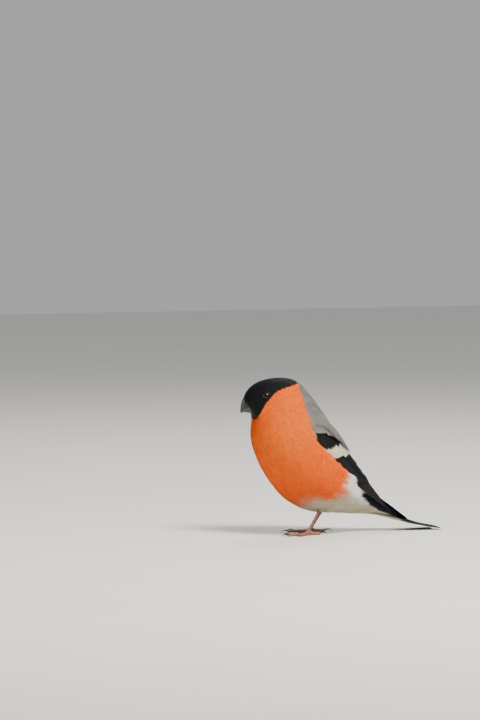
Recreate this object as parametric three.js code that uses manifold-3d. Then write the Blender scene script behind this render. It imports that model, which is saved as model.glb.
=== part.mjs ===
// A male Eurasian bullfinch as a still, life-size museum model, standing on a flat floor with its body
// upright, its head turned a little to its right and the tip of its tail laid on the floor.
// Millimetres and degrees, +Z up. The bird faces -X and its left side faces -Y.
import * as THREE from 'three';
import { mergeVertices } from 'three/addons/utils/BufferGeometryUtils.js';
import Module from 'manifold-3d';

const wasm = await Module();
wasm.setup();

// Driving dimensions of the whole bird.
const gap = 0.3;
const headTurn = 13;
const turnAxisX = -12;
const billTip = { x: -37.5, z: 73.4 };
const billPitch = 20.6;
const wingLength = 81;
const tailLength = 58;
const tarsusRadius = 0.75;
const eyeRadius = 3.2;
const vaneThickness = 0.55;

// Cross-sections of head, neck and body from the bill to the rump, each one flat and upright across the
// bird: back point X and Z, belly point X and Z, half width.
const bodySections = [
  [-35.2, 82.2, -30.0, 72.4, 4.6],
  [-34.2, 84.9, -29.8, 71.8, 7.0],
  [-30.8, 89.0, -29.0, 69.5, 9.5],
  [-25.2, 92.2, -29.5, 66.5, 11.5],
  [-18.0, 93.8, -30.1, 63.5, 13.0],
  [-10.5, 93.9, -30.5, 59.8, 15.0],
  [-4.0, 92.0, -30.0, 56.0, 17.0],
  [1.5, 87.2, -28.5, 51.0, 19.5],
  [7.5, 79.5, -25.8, 45.0, 21.5],
  [13.5, 71.5, -21.8, 38.0, 23.0],
  [19.0, 63.0, -16.0, 30.0, 23.5],
  [23.5, 55.5, -9.0, 22.5, 23.0],
  [27.5, 48.5, -1.0, 17.2, 21.5],
  [31.0, 42.5, 8.0, 14.0, 19.0],
  [34.5, 36.5, 18.0, 13.0, 15.5],
  [38.0, 31.5, 28.0, 12.4, 11.5],
  [42.0, 27.5, 37.0, 11.6, 8.6],
  [48.5, 22.6, 46.0, 11.0, 7.4],
  [56.0, 17.0, 54.5, 9.6, 6.2],
  [64.0, 11.6, 62.5, 7.9, 4.9],
  [71.5, 7.9, 70.6, 6.0, 3.6],
];

// Places along those sections, counted in sections from the bill.
const neckFrom = 5.5;
const torsoFrom = 7.3;
const tailFrom = 15.5;
const turnFull = 5.5;
const turnNone = 9.5;
const ringSides = 36;

const { degToRad, clamp, lerp, smoothstep } = THREE.MathUtils;
const upright = new THREE.Vector3(0, 0, 1);
const sideways = new THREE.Vector3(0, 1, 0);

function point(x, y, z) {
  return new THREE.Vector3(x, y, z);
}

// A smooth curve through the rows of a table, read at any place between them.
function along(rows, place) {
  const i = clamp(Math.floor(place), 0, rows.length - 2);
  const f = place - i;
  const row = (k) => rows[clamp(k, 0, rows.length - 1)];
  return rows[i].map((q, c) => {
    const p = row(i - 1)[c];
    const r = row(i + 1)[c];
    const s = row(i + 2)[c];
    return q + 0.5 * f * (r - p + f * (2 * p - 5 * q + 4 * r - s + f * (3 * (q - r) + s - p)));
  });
}

// The same for a list of plain numbers spread evenly over 0 to 1.
function profile(values, share) {
  const rows = values.map((value) => [value]);
  return along(rows, clamp(share, 0, 1) * (values.length - 1))[0];
}

// Closed surface from points and triangles, with its faces turned outwards.
function closedGeometry(points, triangles) {
  let volume = 0;
  for (const [a, b, c] of triangles) {
    volume += points[a].dot(points[b].clone().cross(points[c]));
  }
  const index = volume > 0 ? triangles.flat() : triangles.map(([a, b, c]) => [a, c, b]).flat();
  const geometry = new THREE.BufferGeometry();
  geometry.setAttribute('position', new THREE.Float32BufferAttribute(points.flatMap((p) => p.toArray()), 3));
  geometry.setIndex(index);
  return geometry;
}

// Rings of points joined into a closed tube, each end filled from the middle of its ring.
function loft(rings) {
  const sides = rings[0].length;
  const points = rings.flat();
  const triangles = [];
  for (let i = 0; i < rings.length - 1; i++) {
    for (let k = 0; k < sides; k++) {
      const a = i * sides + k;
      const b = i * sides + (k + 1) % sides;
      triangles.push([a, b, b + sides], [a, b + sides, a + sides]);
    }
  }
  for (const [first, flip] of [[0, true], [(rings.length - 1) * sides, false]]) {
    const middle = point(0, 0, 0);
    for (let k = 0; k < sides; k++) {
      middle.addScaledVector(points[first + k], 1 / sides);
    }
    points.push(middle);
    for (let k = 0; k < sides; k++) {
      const pair = [first + k, first + (k + 1) % sides];
      triangles.push([points.length - 1, ...(flip ? pair.reverse() : pair)]);
    }
  }
  return closedGeometry(points, triangles);
}

// A thin closed plate between two like grids of points, split into triangles alike on both faces.
function plate(upper, lower) {
  const rows = upper.length;
  const columns = upper[0].length;
  const points = [...upper.flat(), ...lower.flat()];
  const under = rows * columns;
  const triangles = [];
  for (let i = 0; i < rows - 1; i++) {
    for (let j = 0; j < columns - 1; j++) {
      const a = i * columns + j;
      const faces = [[a, a + 1, a + columns + 1], [a, a + columns + 1, a + columns]];
      for (const [p, q, r] of faces) {
        triangles.push([p, q, r], [p + under, r + under, q + under]);
      }
    }
  }
  const rim = [];
  for (let j = 0; j < columns - 1; j++) rim.push(j);
  for (let i = 0; i < rows - 1; i++) rim.push(i * columns + columns - 1);
  for (let j = columns - 1; j > 0; j--) rim.push((rows - 1) * columns + j);
  for (let i = rows - 1; i > 0; i--) rim.push(i * columns);
  rim.forEach((a, k) => {
    const b = rim[(k + 1) % rim.length];
    triangles.push([b, a, a + under], [b, a + under, b + under]);
  });
  return closedGeometry(points, triangles);
}

// A round limb through a row of points, with its own radius at each and a flattening across.
function limb(centres, radii, sides, flatten = 1) {
  let side = null;
  const rings = centres.map((centre, i) => {
    const ahead = centres[Math.min(i + 1, centres.length - 1)];
    const behind = centres[Math.max(i - 1, 0)];
    const heading = ahead.clone().sub(behind).normalize();
    const guess = side ?? (Math.abs(heading.z) > 0.9 ? sideways : upright).clone().cross(heading);
    side = guess.addScaledVector(heading, -guess.dot(heading)).normalize();
    const over = heading.clone().cross(side);
    const ring = [];
    for (let k = 0; k < sides; k++) {
      const angle = 2 * Math.PI * (k + 0.5) / sides;
      ring.push(centre.clone()
        .addScaledVector(side, radii[i] * Math.cos(angle))
        .addScaledVector(over, radii[i] * flatten * Math.sin(angle)));
    }
    return ring;
  });
  return loft(rings);
}

// Solids that can be joined and cut.
function solid(geometry) {
  const bare = geometry.clone();
  bare.deleteAttribute('normal');
  bare.deleteAttribute('uv');
  const merged = mergeVertices(bare, 1e-4);
  return new wasm.Manifold(new wasm.Mesh({
    numProp: 3,
    vertProperties: new Float32Array(merged.attributes.position.array),
    triVerts: new Uint32Array(merged.index.array),
  }));
}

function joined(geometries) {
  return geometries.map(solid).reduce((sum, next) => sum.add(next));
}

// The largest closed surface of a solid, without hollows sealed inside it or loose scraps.
function geometryOf(manifold) {
  const shells = shellsOf(manifold.simplify(0.02).getMesh());
  return shells.reduce((best, next) => (next.volume > best.volume ? next : best)).geometry;
}

// Splits a mesh into its connected surfaces.
function shellsOf(mesh) {
  const parent = Array.from({ length: mesh.numVert }, (_, i) => i);
  const root = (i) => {
    while (parent[i] !== i) {
      parent[i] = parent[parent[i]];
      i = parent[i];
    }
    return i;
  };
  const { triVerts, vertProperties } = mesh;
  mesh.mergeFromVert?.forEach((from, k) => {
    parent[root(from)] = root(mesh.mergeToVert[k]);
  });
  for (let t = 0; t < triVerts.length; t += 3) {
    parent[root(triVerts[t])] = root(triVerts[t + 1]);
    parent[root(triVerts[t + 1])] = root(triVerts[t + 2]);
  }
  const shells = new Map();
  for (let t = 0; t < triVerts.length; t += 3) {
    const key = root(triVerts[t]);
    if (!shells.has(key)) shells.set(key, { index: [], volume: 0 });
    const shell = shells.get(key);
    const corners = [0, 1, 2].map((k) => point().fromArray(vertProperties, 3 * triVerts[t + k]));
    shell.volume += corners[0].dot(corners[1].cross(corners[2])) / 6;
    shell.index.push(triVerts[t], triVerts[t + 1], triVerts[t + 2]);
  }
  return [...shells.values()].map(({ index, volume }) => {
    const geometry = new THREE.BufferGeometry();
    geometry.setAttribute('position', new THREE.Float32BufferAttribute(vertProperties, 3));
    geometry.setIndex(index);
    return { geometry, volume };
  });
}

// The same surface moved outwards, which cuts a neighbour clear of it.
function grown(geometry, distance = gap) {
  const bare = geometry.clone();
  bare.deleteAttribute('normal');
  const merged = mergeVertices(bare, 1e-4);
  merged.computeVertexNormals();
  const { position, normal } = merged.attributes;
  for (let i = 0; i < position.count; i++) {
    const moved = point().fromBufferAttribute(position, i);
    moved.addScaledVector(point().fromBufferAttribute(normal, i), distance);
    position.setXYZ(i, moved.x, moved.y, moved.z);
  }
  return merged;
}

function ball(centre, radius, detail) {
  const geometry = new THREE.SphereGeometry(radius, detail, Math.round(detail * 0.7));
  geometry.translate(centre.x, centre.y, centre.z);
  return geometry;
}

function mirrored(geometry) {
  const other = geometry.clone();
  other.scale(1, -1, 1);
  const { array } = other.index;
  for (let t = 0; t < array.length; t += 3) {
    [array[t], array[t + 1]] = [array[t + 1], array[t]];
  }
  return other;
}

// How far a place along the sections is turned with the head, about an upright line in the neck.
function turnAt(place) {
  return -degToRad(headTurn) * (1 - smoothstep(place, turnFull, turnNone));
}

function turned(p, place) {
  const angle = turnAt(place);
  const dx = p.x - turnAxisX;
  return point(
    turnAxisX + dx * Math.cos(angle) - p.y * Math.sin(angle),
    dx * Math.sin(angle) + p.y * Math.cos(angle),
    p.z,
  );
}

// A point of the bird's outer surface. The angle runs from the back, over the left side, to the belly.
const fullness = 0.93;
function bodyPoint(place, angle) {
  const [backX, backZ, bellyX, bellyZ, halfWidth] = along(bodySections, place);
  const full = (value) => Math.sign(value) * Math.abs(value) ** fullness;
  const up = 0.5 + full(Math.cos(angle)) / 2;
  const out = -halfWidth * full(Math.sin(angle));
  return turned(point(lerp(bellyX, backX, up), out, lerp(bellyZ, backZ, up)), place);
}

// One ring of the body, moved along the bird by a distance that leaves the gap at a cut.
function bodyRing(place, shift = 0) {
  const [backX, backZ, bellyX, bellyZ] = along(bodySections, place);
  const ahead = point(bellyZ - backZ, 0, backX - bellyX).normalize().multiplyScalar(-shift);
  ahead.applyAxisAngle(upright, turnAt(place));
  const ring = [];
  for (let k = 0; k < ringSides; k++) {
    ring.push(bodyPoint(place, 2 * Math.PI * k / ringSides).add(ahead));
  }
  return ring;
}

function bodyLoft(from, to, steps) {
  const rings = [];
  for (let i = 0; i <= steps; i++) {
    const shift = i === 0 ? gap / 2 : (i === steps ? -gap / 2 : 0);
    rings.push(bodyRing(lerp(from, to, i / steps), shift));
  }
  return loft(rings);
}

// Folded wings and the tail are sheets of feathers: a place on one is its distance from the root, its
// distance across and its height above the sheet, which is rounded like a roof.
function featherSheet(curve, acrossRoot, acrossTip, camber) {
  const length = curve.getLength();
  return (u, across, height) => {
    const share = clamp(u / length, 0, 1);
    const tangent = curve.getTangentAt(share);
    const acrossHint = acrossRoot.clone().lerp(acrossTip, share);
    const side = acrossHint.clone().addScaledVector(tangent, -acrossHint.dot(tangent)).normalize();
    const up = tangent.clone().cross(side);
    const angle = across / camber;
    return curve.getPointAt(share)
      .addScaledVector(tangent, u - share * length)
      .addScaledVector(side, (camber + height) * Math.sin(angle))
      .addScaledVector(up, (camber + height) * Math.cos(angle) - camber);
  };
}

// One vane: a flat blade with a rounded tip, one edge lifted over its neighbour.
const vaneOutline = [[0, 0.75], [0.5, 1], [0.86, 0.86], [0.96, 0.55], [1, 0.2]];
function vane(sheet, { root, tip, width, tilt = 0, thickness = vaneThickness }) {
  const faces = [0, -thickness].map((drop) => vaneOutline.map(([share, wide]) => {
    const [u, across, height] = root.map((value, c) => lerp(value, tip[c], share));
    const lean = Math.atan2(tip[1] - root[1], tip[0] - root[0]);
    return [-1, 1].map((edge) => {
      const reach = edge * wide * width / 2;
      return sheet(u - reach * Math.sin(lean), across + reach * Math.cos(lean), height - tilt * reach + drop);
    });
  }));
  return plate(...faces);
}

// A tier of like vanes spread in a row from one first vane to one last.
function tier(sheet, count, first, last, options) {
  const vanes = [];
  for (let k = 0; k < count; k++) {
    const share = count > 1 ? k / (count - 1) : 0;
    const between = (name) => first[name].map((value, c) => lerp(value, last[name][c], share));
    vanes.push(vane(sheet, { ...options, root: between('root'), tip: between('tip') }));
  }
  return vanes;
}

// Left wing, folded along the side: from the shoulder to the tips of the longest primaries.
const wingCurve = new THREE.CatmullRomCurve3([
  point(-3, -19.8, 70),
  point(14, -18.6, 54.4),
  point(31.6, -11.2, 37.4),
  point(57.4, -6.2, 15.6),
]);
const wingScale = wingLength / wingCurve.getLength();
const wingSheet = featherSheet(wingCurve, point(0.52, 0.36, 0.78), point(0.34, 0.82, 0.46), 20);
const wingSpan = (u) => u / wingScale;

// Lower and upper edge of the folded wing, from the shoulder to the tip.
const wingLow = [-6, -10, -10.4, -9.8, -9, -8.2, -7, -5.6, -4.6];
const wingHigh = [5.5, 10, 11, 11.5, 11, 10, 7.6, 5, 3.4];

// The room that a wing takes out of the body: from this far under its sheet to well clear above it.
const pocketFloor = -2.5;
const pocketCeiling = 12;
const pocketSpare = gap + 0.1;
function wingEnvelope(spare) {
  const [floor, ceiling] = [pocketFloor, pocketCeiling];
  const steps = 18;
  const rings = [];
  for (let i = 0; i <= steps; i++) {
    const share = i / steps;
    const u = lerp(-spare, wingSpan(wingLength) + 1, share);
    const low = profile(wingLow, share) - spare;
    const high = profile(wingHigh, share) + spare;
    rings.push([[low, ceiling], [low, floor], [lerp(low, high, 0.5), floor], [high, floor],
      [high, ceiling], [lerp(low, high, 0.5), ceiling]].map(([b, h]) => wingSheet(u, b, h)));
  }
  return loft(rings);
}

// The arm under the feathers, a flat pad that thins out towards the roots of the flight feathers.
const armSwell = [0.8, 2, 1.7, 1, 0.5, 0];
const armReach = 0.6;
const armFloor = -2.1;
const armTop = -0.7;
function wingCore() {
  const rows = [0, 0.06, 0.16, 0.3, 0.45, armReach];
  const faces = [1, 0].map((top) => rows.map((share) => [0, 0.2, 0.5, 0.8, 1].map((across) => {
    const swell = Math.sin(Math.PI * clamp(across, 0.08, 0.92)) * profile(armSwell, share / armReach);
    const b = lerp(profile(wingLow, share) + 0.5, profile(wingHigh, share) - 0.5, across);
    return wingSheet(wingSpan(share * wingLength) + gap, b, top ? swell + armTop : armFloor);
  })));
  return plate(...faces);
}

function leftWing() {
  const at = wingSpan;
  const primaries = tier(wingSheet, 7,
    { root: [at(30), -6.6, -1.5], tip: [at(81), -2.2, -1.1] },
    { root: [at(34), -2.6, -0.8], tip: [at(63), 1.6, 0.1] },
    { width: 4.8, tilt: 0.05 });
  const secondaries = tier(wingSheet, 5,
    { root: [at(24), -5.8, -0.5], tip: [at(56.5), -1.6, 0.1] },
    { root: [at(24), 1, 0.3], tip: [at(60), 2.6, 0.7] },
    { width: 5, tilt: 0.08 });
  const tertials = tier(wingSheet, 3,
    { root: [at(26), 3.2, 0.6], tip: [at(58), 3, 1.1] },
    { root: [at(24), 6.4, 0.9], tip: [at(48), 6.6, 1.4] },
    { width: 6, tilt: 0.08 });
  const primaryCoverts = tier(wingSheet, 3,
    { root: [at(12), -7.4, -0.4], tip: [at(36), -7, -0.2] },
    { root: [at(13), -6, 0], tip: [at(30), -5.8, 0.2] },
    { width: 3.6, tilt: 0.06 });
  const greaterCoverts = tier(wingSheet, 7,
    { root: [at(8), -6.6, 0], tip: [at(25.5), -7.2, 0.75] },
    { root: [at(21), 7, 0.6], tip: [at(38.6), 7, 1.45] },
    { width: 4.2, tilt: 0.1 });
  const medianCoverts = tier(wingSheet, 6,
    { root: [at(2), -4.8, 0.2], tip: [at(6.5), -6.2, 0.95] },
    { root: [at(12), 6.8, 0.8], tip: [at(25.5), 6.8, 1.75] },
    { width: 4.6, tilt: 0.1 });
  return [wingCore(), ...primaries, ...secondaries, ...tertials, ...primaryCoverts, ...greaterCoverts,
    ...medianCoverts];
}

// Tail: six pairs of long feathers fanned a little, the middle pair on top, their tips on the floor.
const tailCurve = new THREE.CatmullRomCurve3([
  point(34, 0, 21.6),
  point(56, 0, 12.2),
  point(76, 0, 4.4),
  point(92, 0, 1.15),
]);
const tailCamber = 120;
const tailSheet = featherSheet(tailCurve, sideways, sideways, tailCamber);
const tailEnd = tailCurve.getLength();

const tailPairs = 6;
const tailFeatherWidth = 6.6;
function tailFeathers() {
  const vanes = [];
  for (let k = 0; k < tailPairs; k++) {
    for (const side of [-1, 1]) {
      const lift = 0.9 - 0.34 * k + (side > 0 && k === 0 ? 0.3 : 0);
      vanes.push(vane(tailSheet, {
        root: [tailEnd - tailLength, side * (0.6 + 0.45 * k), lift - 0.3],
        tip: [tailEnd - 2 + 0.4 * k, side * (1.7 + 1.2 * k), 0.42 * lift],
        width: tailFeatherWidth,
        tilt: side * 0.03,
      }));
    }
  }
  return vanes;
}

// Coverts slope down from the rump and up from the vent onto the tail, in rows given by their reach.
const covertRows = [{ over: 40, under: 37 }, { over: 33, under: 31 }];
const covertsAcross = 5;
function tailCoverts() {
  const coverts = [];
  covertRows.forEach(({ over, under }, row) => {
    for (let k = 0; k < covertsAcross; k++) {
      const across = lerp(-1, 1, k / (covertsAcross - 1));
      const out = Math.abs(across);
      coverts.push(vane(tailSheet, {
        root: [13, across * 4, 6.9 - 0.5 * out - 0.3 * row],
        tip: [over - 4 * out, across * 5, 1.7 - 0.4 * out + 0.3 * row],
        width: 5.4,
        tilt: across * 0.12,
      }));
      coverts.push(vane(tailSheet, {
        root: [12, across * 3.4, -5.6 + 0.3 * out],
        tip: [under - 3 * out, across * 4.2, -2 + 0.3 * out - 0.3 * row],
        width: 4.6,
        tilt: -across * 0.12,
      }));
    }
  });
  return coverts;
}

// Bill: two short, deep, swollen halves that meet along the line of the mouth.
const billAxis = point(Math.cos(degToRad(billPitch)), 0, Math.sin(degToRad(billPitch)));
const billUp = point(-Math.sin(degToRad(billPitch)), 0, Math.cos(degToRad(billPitch)));
const billLength = 11.5;
const upperDepth = 6.3;
const lowerDepth = 2.9;
const billHalfWidth = 4;
const nostril = { back: 4.9, up: 6.2, out: 2.3, radius: 0.5 };

function billHalf(depthAt, widthAt, sign, from) {
  const steps = 9;
  const sides = 14;
  const rings = [];
  for (let i = 0; i <= steps; i++) {
    const back = lerp(from, billLength, (i / steps) ** 1.5);
    const ring = [];
    for (let k = 0; k < sides; k++) {
      const angle = 2 * Math.PI * k / sides;
      const rise = Math.max(Math.sin(angle), 0) * depthAt(back) - Math.max(-Math.sin(angle), 0) * 0.01;
      const across = Math.cos(angle) * widthAt(back);
      ring.push(turned(point(billTip.x, across, billTip.z)
        .addScaledVector(billAxis, back)
        .addScaledVector(billUp, sign * (rise + gap / 2) + mouthBend(back)), 0));
    }
    rings.push(ring);
  }
  return loft(rings);
}

// The line of the mouth hooks down at the tip and bends down towards the corner of the mouth.
const tipHook = 1;
const tipHookLength = 2.6;
const mouthFall = 0.9;
const mouthFallFrom = 4;
function mouthBend(back) {
  const rise = tipHook * smoothstep(back, 0, tipHookLength);
  return rise - mouthFall * smoothstep(back, mouthFallFrom, billLength);
}

function swelling(back, from, reach, size, power) {
  return 0.25 + size * clamp((back - from) / reach, 0, 1) ** power;
}

const lowerFrom = 0.7;
const upperBill = billHalf(
  (back) => swelling(back, 0, 4.8, upperDepth, 0.8),
  (back) => swelling(back, 0, 8.5, billHalfWidth, 0.62), 1, 0);
const lowerBill = billHalf(
  (back) => swelling(back, lowerFrom, 5.5, lowerDepth, 0.85),
  (back) => swelling(back, lowerFrom, 7.5, billHalfWidth - 0.4, 0.62), -1, lowerFrom);

// Eyes, each in a socket with a raised lid round it, at the lower back edge of the cap.
const eyePlace = 3.5;
const eyeAngle = degToRad(70);
const eyeSink = 2.3;
const lidRadius = 2.25;
const lidThickness = 0.5;

function eyeOutward(side) {
  const step = 0.05;
  const at = side * eyeAngle;
  const lengthways = bodyPoint(eyePlace + step, at).sub(bodyPoint(eyePlace - step, at));
  const round = bodyPoint(eyePlace, at + step).sub(bodyPoint(eyePlace, at - step));
  return round.cross(lengthways).normalize();
}

function eyeCentre(side) {
  return bodyPoint(eyePlace, side * eyeAngle).addScaledVector(eyeOutward(side), -eyeSink);
}

function lid(side) {
  const outward = eyeOutward(side);
  const ring = new THREE.TorusGeometry(lidRadius, lidThickness, 5, 14);
  ring.scale(1.08, 0.95, 1);
  ring.applyQuaternion(new THREE.Quaternion().setFromUnitVectors(upright, outward));
  const seat = eyeCentre(side).addScaledVector(outward, Math.sqrt(eyeRadius ** 2 - lidRadius ** 2));
  ring.translate(seat.x, seat.y, seat.z);
  return ring;
}

// Legs: ankle and toe joint of each, the left one a step ahead of the right.
const legs = {
  left: { ankle: point(8.8, -9.6, 15.6), toes: point(0, -10.4, 1.9), heading: 188 },
  right: { ankle: point(21, 9.2, 15.2), toes: point(12, 10.2, 1.9), heading: 172 },
};
const toeRoot = 1.15;
const jointRadius = 1.35;
const knuckleStep = 3.6;
const floorSink = 0.12;
const footStub = 2.2;

function legShape({ ankle, toes }, end) {
  const bone = toes.clone().sub(ankle);
  const reach = 1 - end / bone.length();
  const shares = [-0.16, -0.06, 0.02, 0.12, 0.4, 0.75, reach];
  const radii = [0.9, 1.3, 1.3, 0.95, tarsusRadius, 0.82, 0.98];
  return limb(shares.map((share) => ankle.clone().addScaledVector(bone, share)), radii, 8, 0.85);
}

// Thigh: from a place inside the body, behind, inwards and above the ankle, down round the joint.
const thighTop = { back: 5.5, inwards: 1.2, up: 9 };
function thighShape({ ankle }) {
  const top = ankle.clone().add(point(thighTop.back, -Math.sign(ankle.y) * thighTop.inwards, thighTop.up));
  const shares = [0, 0.3, 0.6, 0.85, 1.05, 1.16];
  const radii = [6.6, 6.2, 5.1, 3.8, 2.6, 1.6];
  return limb(shares.map((share) => top.clone().lerp(ankle, share)), radii, 14);
}

// Each toe: turn from the foot's heading, length without the claw, length of the claw, thickness.
const toeTable = [
  [-28, 10.5, 4.2, 0.95],
  [0, 14, 4.6, 1],
  [30, 10.5, 4.2, 0.95],
  [180, 8.5, 5.8, 1.05],
];

function toe({ toes, heading }, [turn, length, claw, radius]) {
  const angle = degToRad(heading + turn);
  const forward = point(Math.cos(angle), Math.sin(angle), 0);
  const at = (reach, height) => toes.clone().setZ(height).addScaledVector(forward, reach);
  const rest = radius - floorSink;
  const knuckles = Math.round(length / knuckleStep);
  const centres = [toes.clone(), at(1.6, rest + 0.35)];
  const radii = [toeRoot * 0.9, radius * 1.02];
  for (let k = 1; k <= knuckles; k++) {
    const share = k / knuckles;
    const thin = lerp(1, 0.76, share);
    centres.push(at(length * (share - 0.5 / knuckles) + 0.8, rest * thin), at(length * share, rest * thin));
    radii.push(radius * thin * 0.9, radius * thin);
  }
  const clawCurve = [[0.25, 1.25, 0.55], [0.55, 1.45, 0.42], [0.8, 1.05, 0.28], [1, 0.3, 0.12]];
  for (const [share, height, thickness] of clawCurve) {
    centres.push(at(length + claw * share, height * radius));
    radii.push(thickness * radius);
  }
  return limb(centres, radii, 6);
}

function footShape(leg) {
  const bone = leg.ankle.clone().sub(leg.toes).normalize();
  const stubCentres = [0, 1.3, footStub].map((up) => leg.toes.clone().addScaledVector(bone, up));
  const stub = limb(stubCentres, [1.25, 1.08, 0.98], 8);
  return [stub, ball(leg.toes, jointRadius, 8), ...toeTable.map((row) => toe(leg, row))];
}

// Finishes, as base colour, roughness and metalness.
const finishes = {
  cap: [0x101218, 0.45, 0],
  breast: [0xe0602a, 0.85, 0],
  horn: [0x17171a, 0.35, 0],
  eye: [0x0c0705, 0.08, 0],
  wing: [0x15161a, 0.5, 0],
  tail: [0x12141c, 0.45, 0],
  vent: [0xd9d3c4, 0.9, 0],
  leg: [0x9a6350, 0.6, 0],
};

const bird = new THREE.Group();

function place(name, geometry, finish) {
  const [color, roughness, metalness] = finishes[finish];
  const material = new THREE.MeshStandardMaterial({ color, roughness, metalness });
  const mesh = new THREE.Mesh(geometry, material);
  mesh.name = name;
  bird.add(mesh);
}

const headLoft = bodyLoft(0, neckFrom, 12);
const torsoLoft = bodyLoft(torsoFrom, tailFrom, 20);
const wings = { left: joined(leftWing()) };
const wingSpace = { left: wingEnvelope(pocketSpare) };
wingSpace.right = mirrored(wingSpace.left);

let head = solid(headLoft);
for (const [name, side] of [['left', 1], ['right', -1]]) {
  head = head.add(solid(lid(side)));
  head = head.subtract(solid(ball(eyeCentre(side), eyeRadius + gap, 12)));
  place(`eye_${name}`, ball(eyeCentre(side), eyeRadius, 12), 'eye');
}
place('head', geometryOf(head), 'cap');
place('neck', bodyLoft(neckFrom, torsoFrom, 5), 'breast');

const headSpace = solid(grown(headLoft));
const nostrils = [-1, 1].map((side) => ball(
  turned(point(billTip.x, side * nostril.out, billTip.z)
    .addScaledVector(billAxis, nostril.back)
    .addScaledVector(billUp, nostril.up), 0),
  nostril.radius, 8)).map(solid);
let upper = solid(upperBill).subtract(headSpace);
for (const hole of nostrils) upper = upper.subtract(hole);
place('bill_upper', geometryOf(upper), 'horn');
place('bill_lower', geometryOf(solid(lowerBill).subtract(headSpace)), 'horn');

let torso = solid(torsoLoft);
for (const side of ['left', 'right']) {
  torso = torso.subtract(solid(wingSpace[side])).subtract(solid(grown(legShape(legs[side], footStub + gap))));
}
place('torso', geometryOf(torso), 'breast');
const wingGeometry = geometryOf(wings.left);
place('wing_left', wingGeometry, 'wing');
place('wing_right', mirrored(wingGeometry), 'wing');

const torsoSpace = solid(grown(torsoLoft));
let tail = joined([bodyLoft(tailFrom, bodySections.length - 1, 10), ...tailFeathers(), ...tailCoverts()]);
tail = tail.subtract(torsoSpace);
for (const side of ['left', 'right']) tail = tail.subtract(solid(wingSpace[side]));
place('tail', geometryOf(tail.trimByPlane([0, 0, 1], 0)), 'tail');

for (const [name, leg] of Object.entries(legs)) {
  const shin = legShape(leg, footStub + gap);
  place(`leg_${name}`, geometryOf(solid(shin)), 'leg');
  const thigh = solid(thighShape(leg)).subtract(torsoSpace).subtract(solid(grown(shin)));
  place(`thigh_${name}`, geometryOf(thigh), 'vent');
  place(`foot_${name}`, geometryOf(joined(footShape(leg)).trimByPlane([0, 0, 1], 0)), 'leg');
}

// The origin is on the floor, under the middle of the bird's length and width.
const box = new THREE.Box3().setFromObject(bird);
const middle = box.getCenter(point());
bird.position.set(-middle.x, -middle.y, -box.min.z);
export default bird;
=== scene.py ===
import math

import bpy
import numpy as np
from mathutils import Matrix, Vector, kdtree


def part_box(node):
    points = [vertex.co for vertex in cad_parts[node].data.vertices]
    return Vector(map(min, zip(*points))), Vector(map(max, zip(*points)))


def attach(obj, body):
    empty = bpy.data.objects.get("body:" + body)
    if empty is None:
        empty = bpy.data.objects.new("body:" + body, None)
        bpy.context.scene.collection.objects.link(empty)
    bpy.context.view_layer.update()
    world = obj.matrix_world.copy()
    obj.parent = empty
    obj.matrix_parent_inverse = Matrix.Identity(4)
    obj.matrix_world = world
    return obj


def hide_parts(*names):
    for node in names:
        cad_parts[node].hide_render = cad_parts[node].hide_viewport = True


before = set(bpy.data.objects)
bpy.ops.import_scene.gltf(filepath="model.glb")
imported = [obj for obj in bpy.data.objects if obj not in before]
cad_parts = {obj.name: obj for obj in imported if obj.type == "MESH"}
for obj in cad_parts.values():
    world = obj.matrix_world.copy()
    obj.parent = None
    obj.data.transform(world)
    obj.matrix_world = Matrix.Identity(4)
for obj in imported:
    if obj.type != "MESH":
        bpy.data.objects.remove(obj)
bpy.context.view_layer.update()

# The bird's form. Skin and feathers hang on a row of flat cross-sections, the same ones that the
# solids were lofted from, in millimetres: back point X and Z, belly point X and Z, half width.
# The head is turned a little to the bird's right, and the turn dies out down the neck.
MM = 0.001
body_sections = np.array([
    [-35.2, 82.2, -30.0, 72.4, 4.6],
    [-34.2, 84.9, -29.8, 71.8, 7.0],
    [-30.8, 89.0, -29.0, 69.5, 9.5],
    [-25.2, 92.2, -29.5, 66.5, 11.5],
    [-18.0, 93.8, -30.1, 63.5, 13.0],
    [-10.5, 93.9, -30.5, 59.8, 15.0],
    [-4.0, 92.0, -30.0, 56.0, 17.0],
    [1.5, 87.2, -28.5, 51.0, 19.5],
    [7.5, 79.5, -25.8, 45.0, 21.5],
    [13.5, 71.5, -21.8, 38.0, 23.0],
    [19.0, 63.0, -16.0, 30.0, 23.5],
    [23.5, 55.5, -9.0, 22.5, 23.0],
    [27.5, 48.5, -1.0, 17.2, 21.5],
    [31.0, 42.5, 8.0, 14.0, 19.0],
    [34.5, 36.5, 18.0, 13.0, 15.5],
    [38.0, 31.5, 28.0, 12.4, 11.5],
    [42.0, 27.5, 37.0, 11.6, 8.6],
    [48.5, 22.6, 46.0, 11.0, 7.4],
    [56.0, 17.0, 54.5, 9.6, 6.2],
    [64.0, 11.6, 62.5, 7.9, 4.9],
    [71.5, 7.9, 70.6, 6.0, 3.6],
])
last_section = len(body_sections) - 1.0
head_turn = math.radians(13)
turn_axis_x = -12.0
turn_full, turn_none = 5.5, 9.5
fullness = 0.93
eye_place, eye_angle, eye_sink = 3.5, math.radians(70), 2.3
eye_radius = 3.2


def ease(value, low, high):
    share = np.clip((value - low) / (high - low), 0, 1)
    return share * share * (3 - 2 * share)


def unit(vectors):
    return vectors / np.maximum(np.linalg.norm(vectors, axis=-1, keepdims=True), 1e-9)


def along(rows, place):
    place = np.asarray(place, float)
    first = np.clip(np.floor(place).astype(int), 0, len(rows) - 2)
    f = (place - first)[..., None]
    p, q, r, s = (rows[np.clip(first + k, 0, len(rows) - 1)] for k in (-1, 0, 1, 2))
    return q + 0.5 * f * (r - p + f * (2 * p - 5 * q + 4 * r - s + f * (3 * (q - r) + s - p)))


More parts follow.
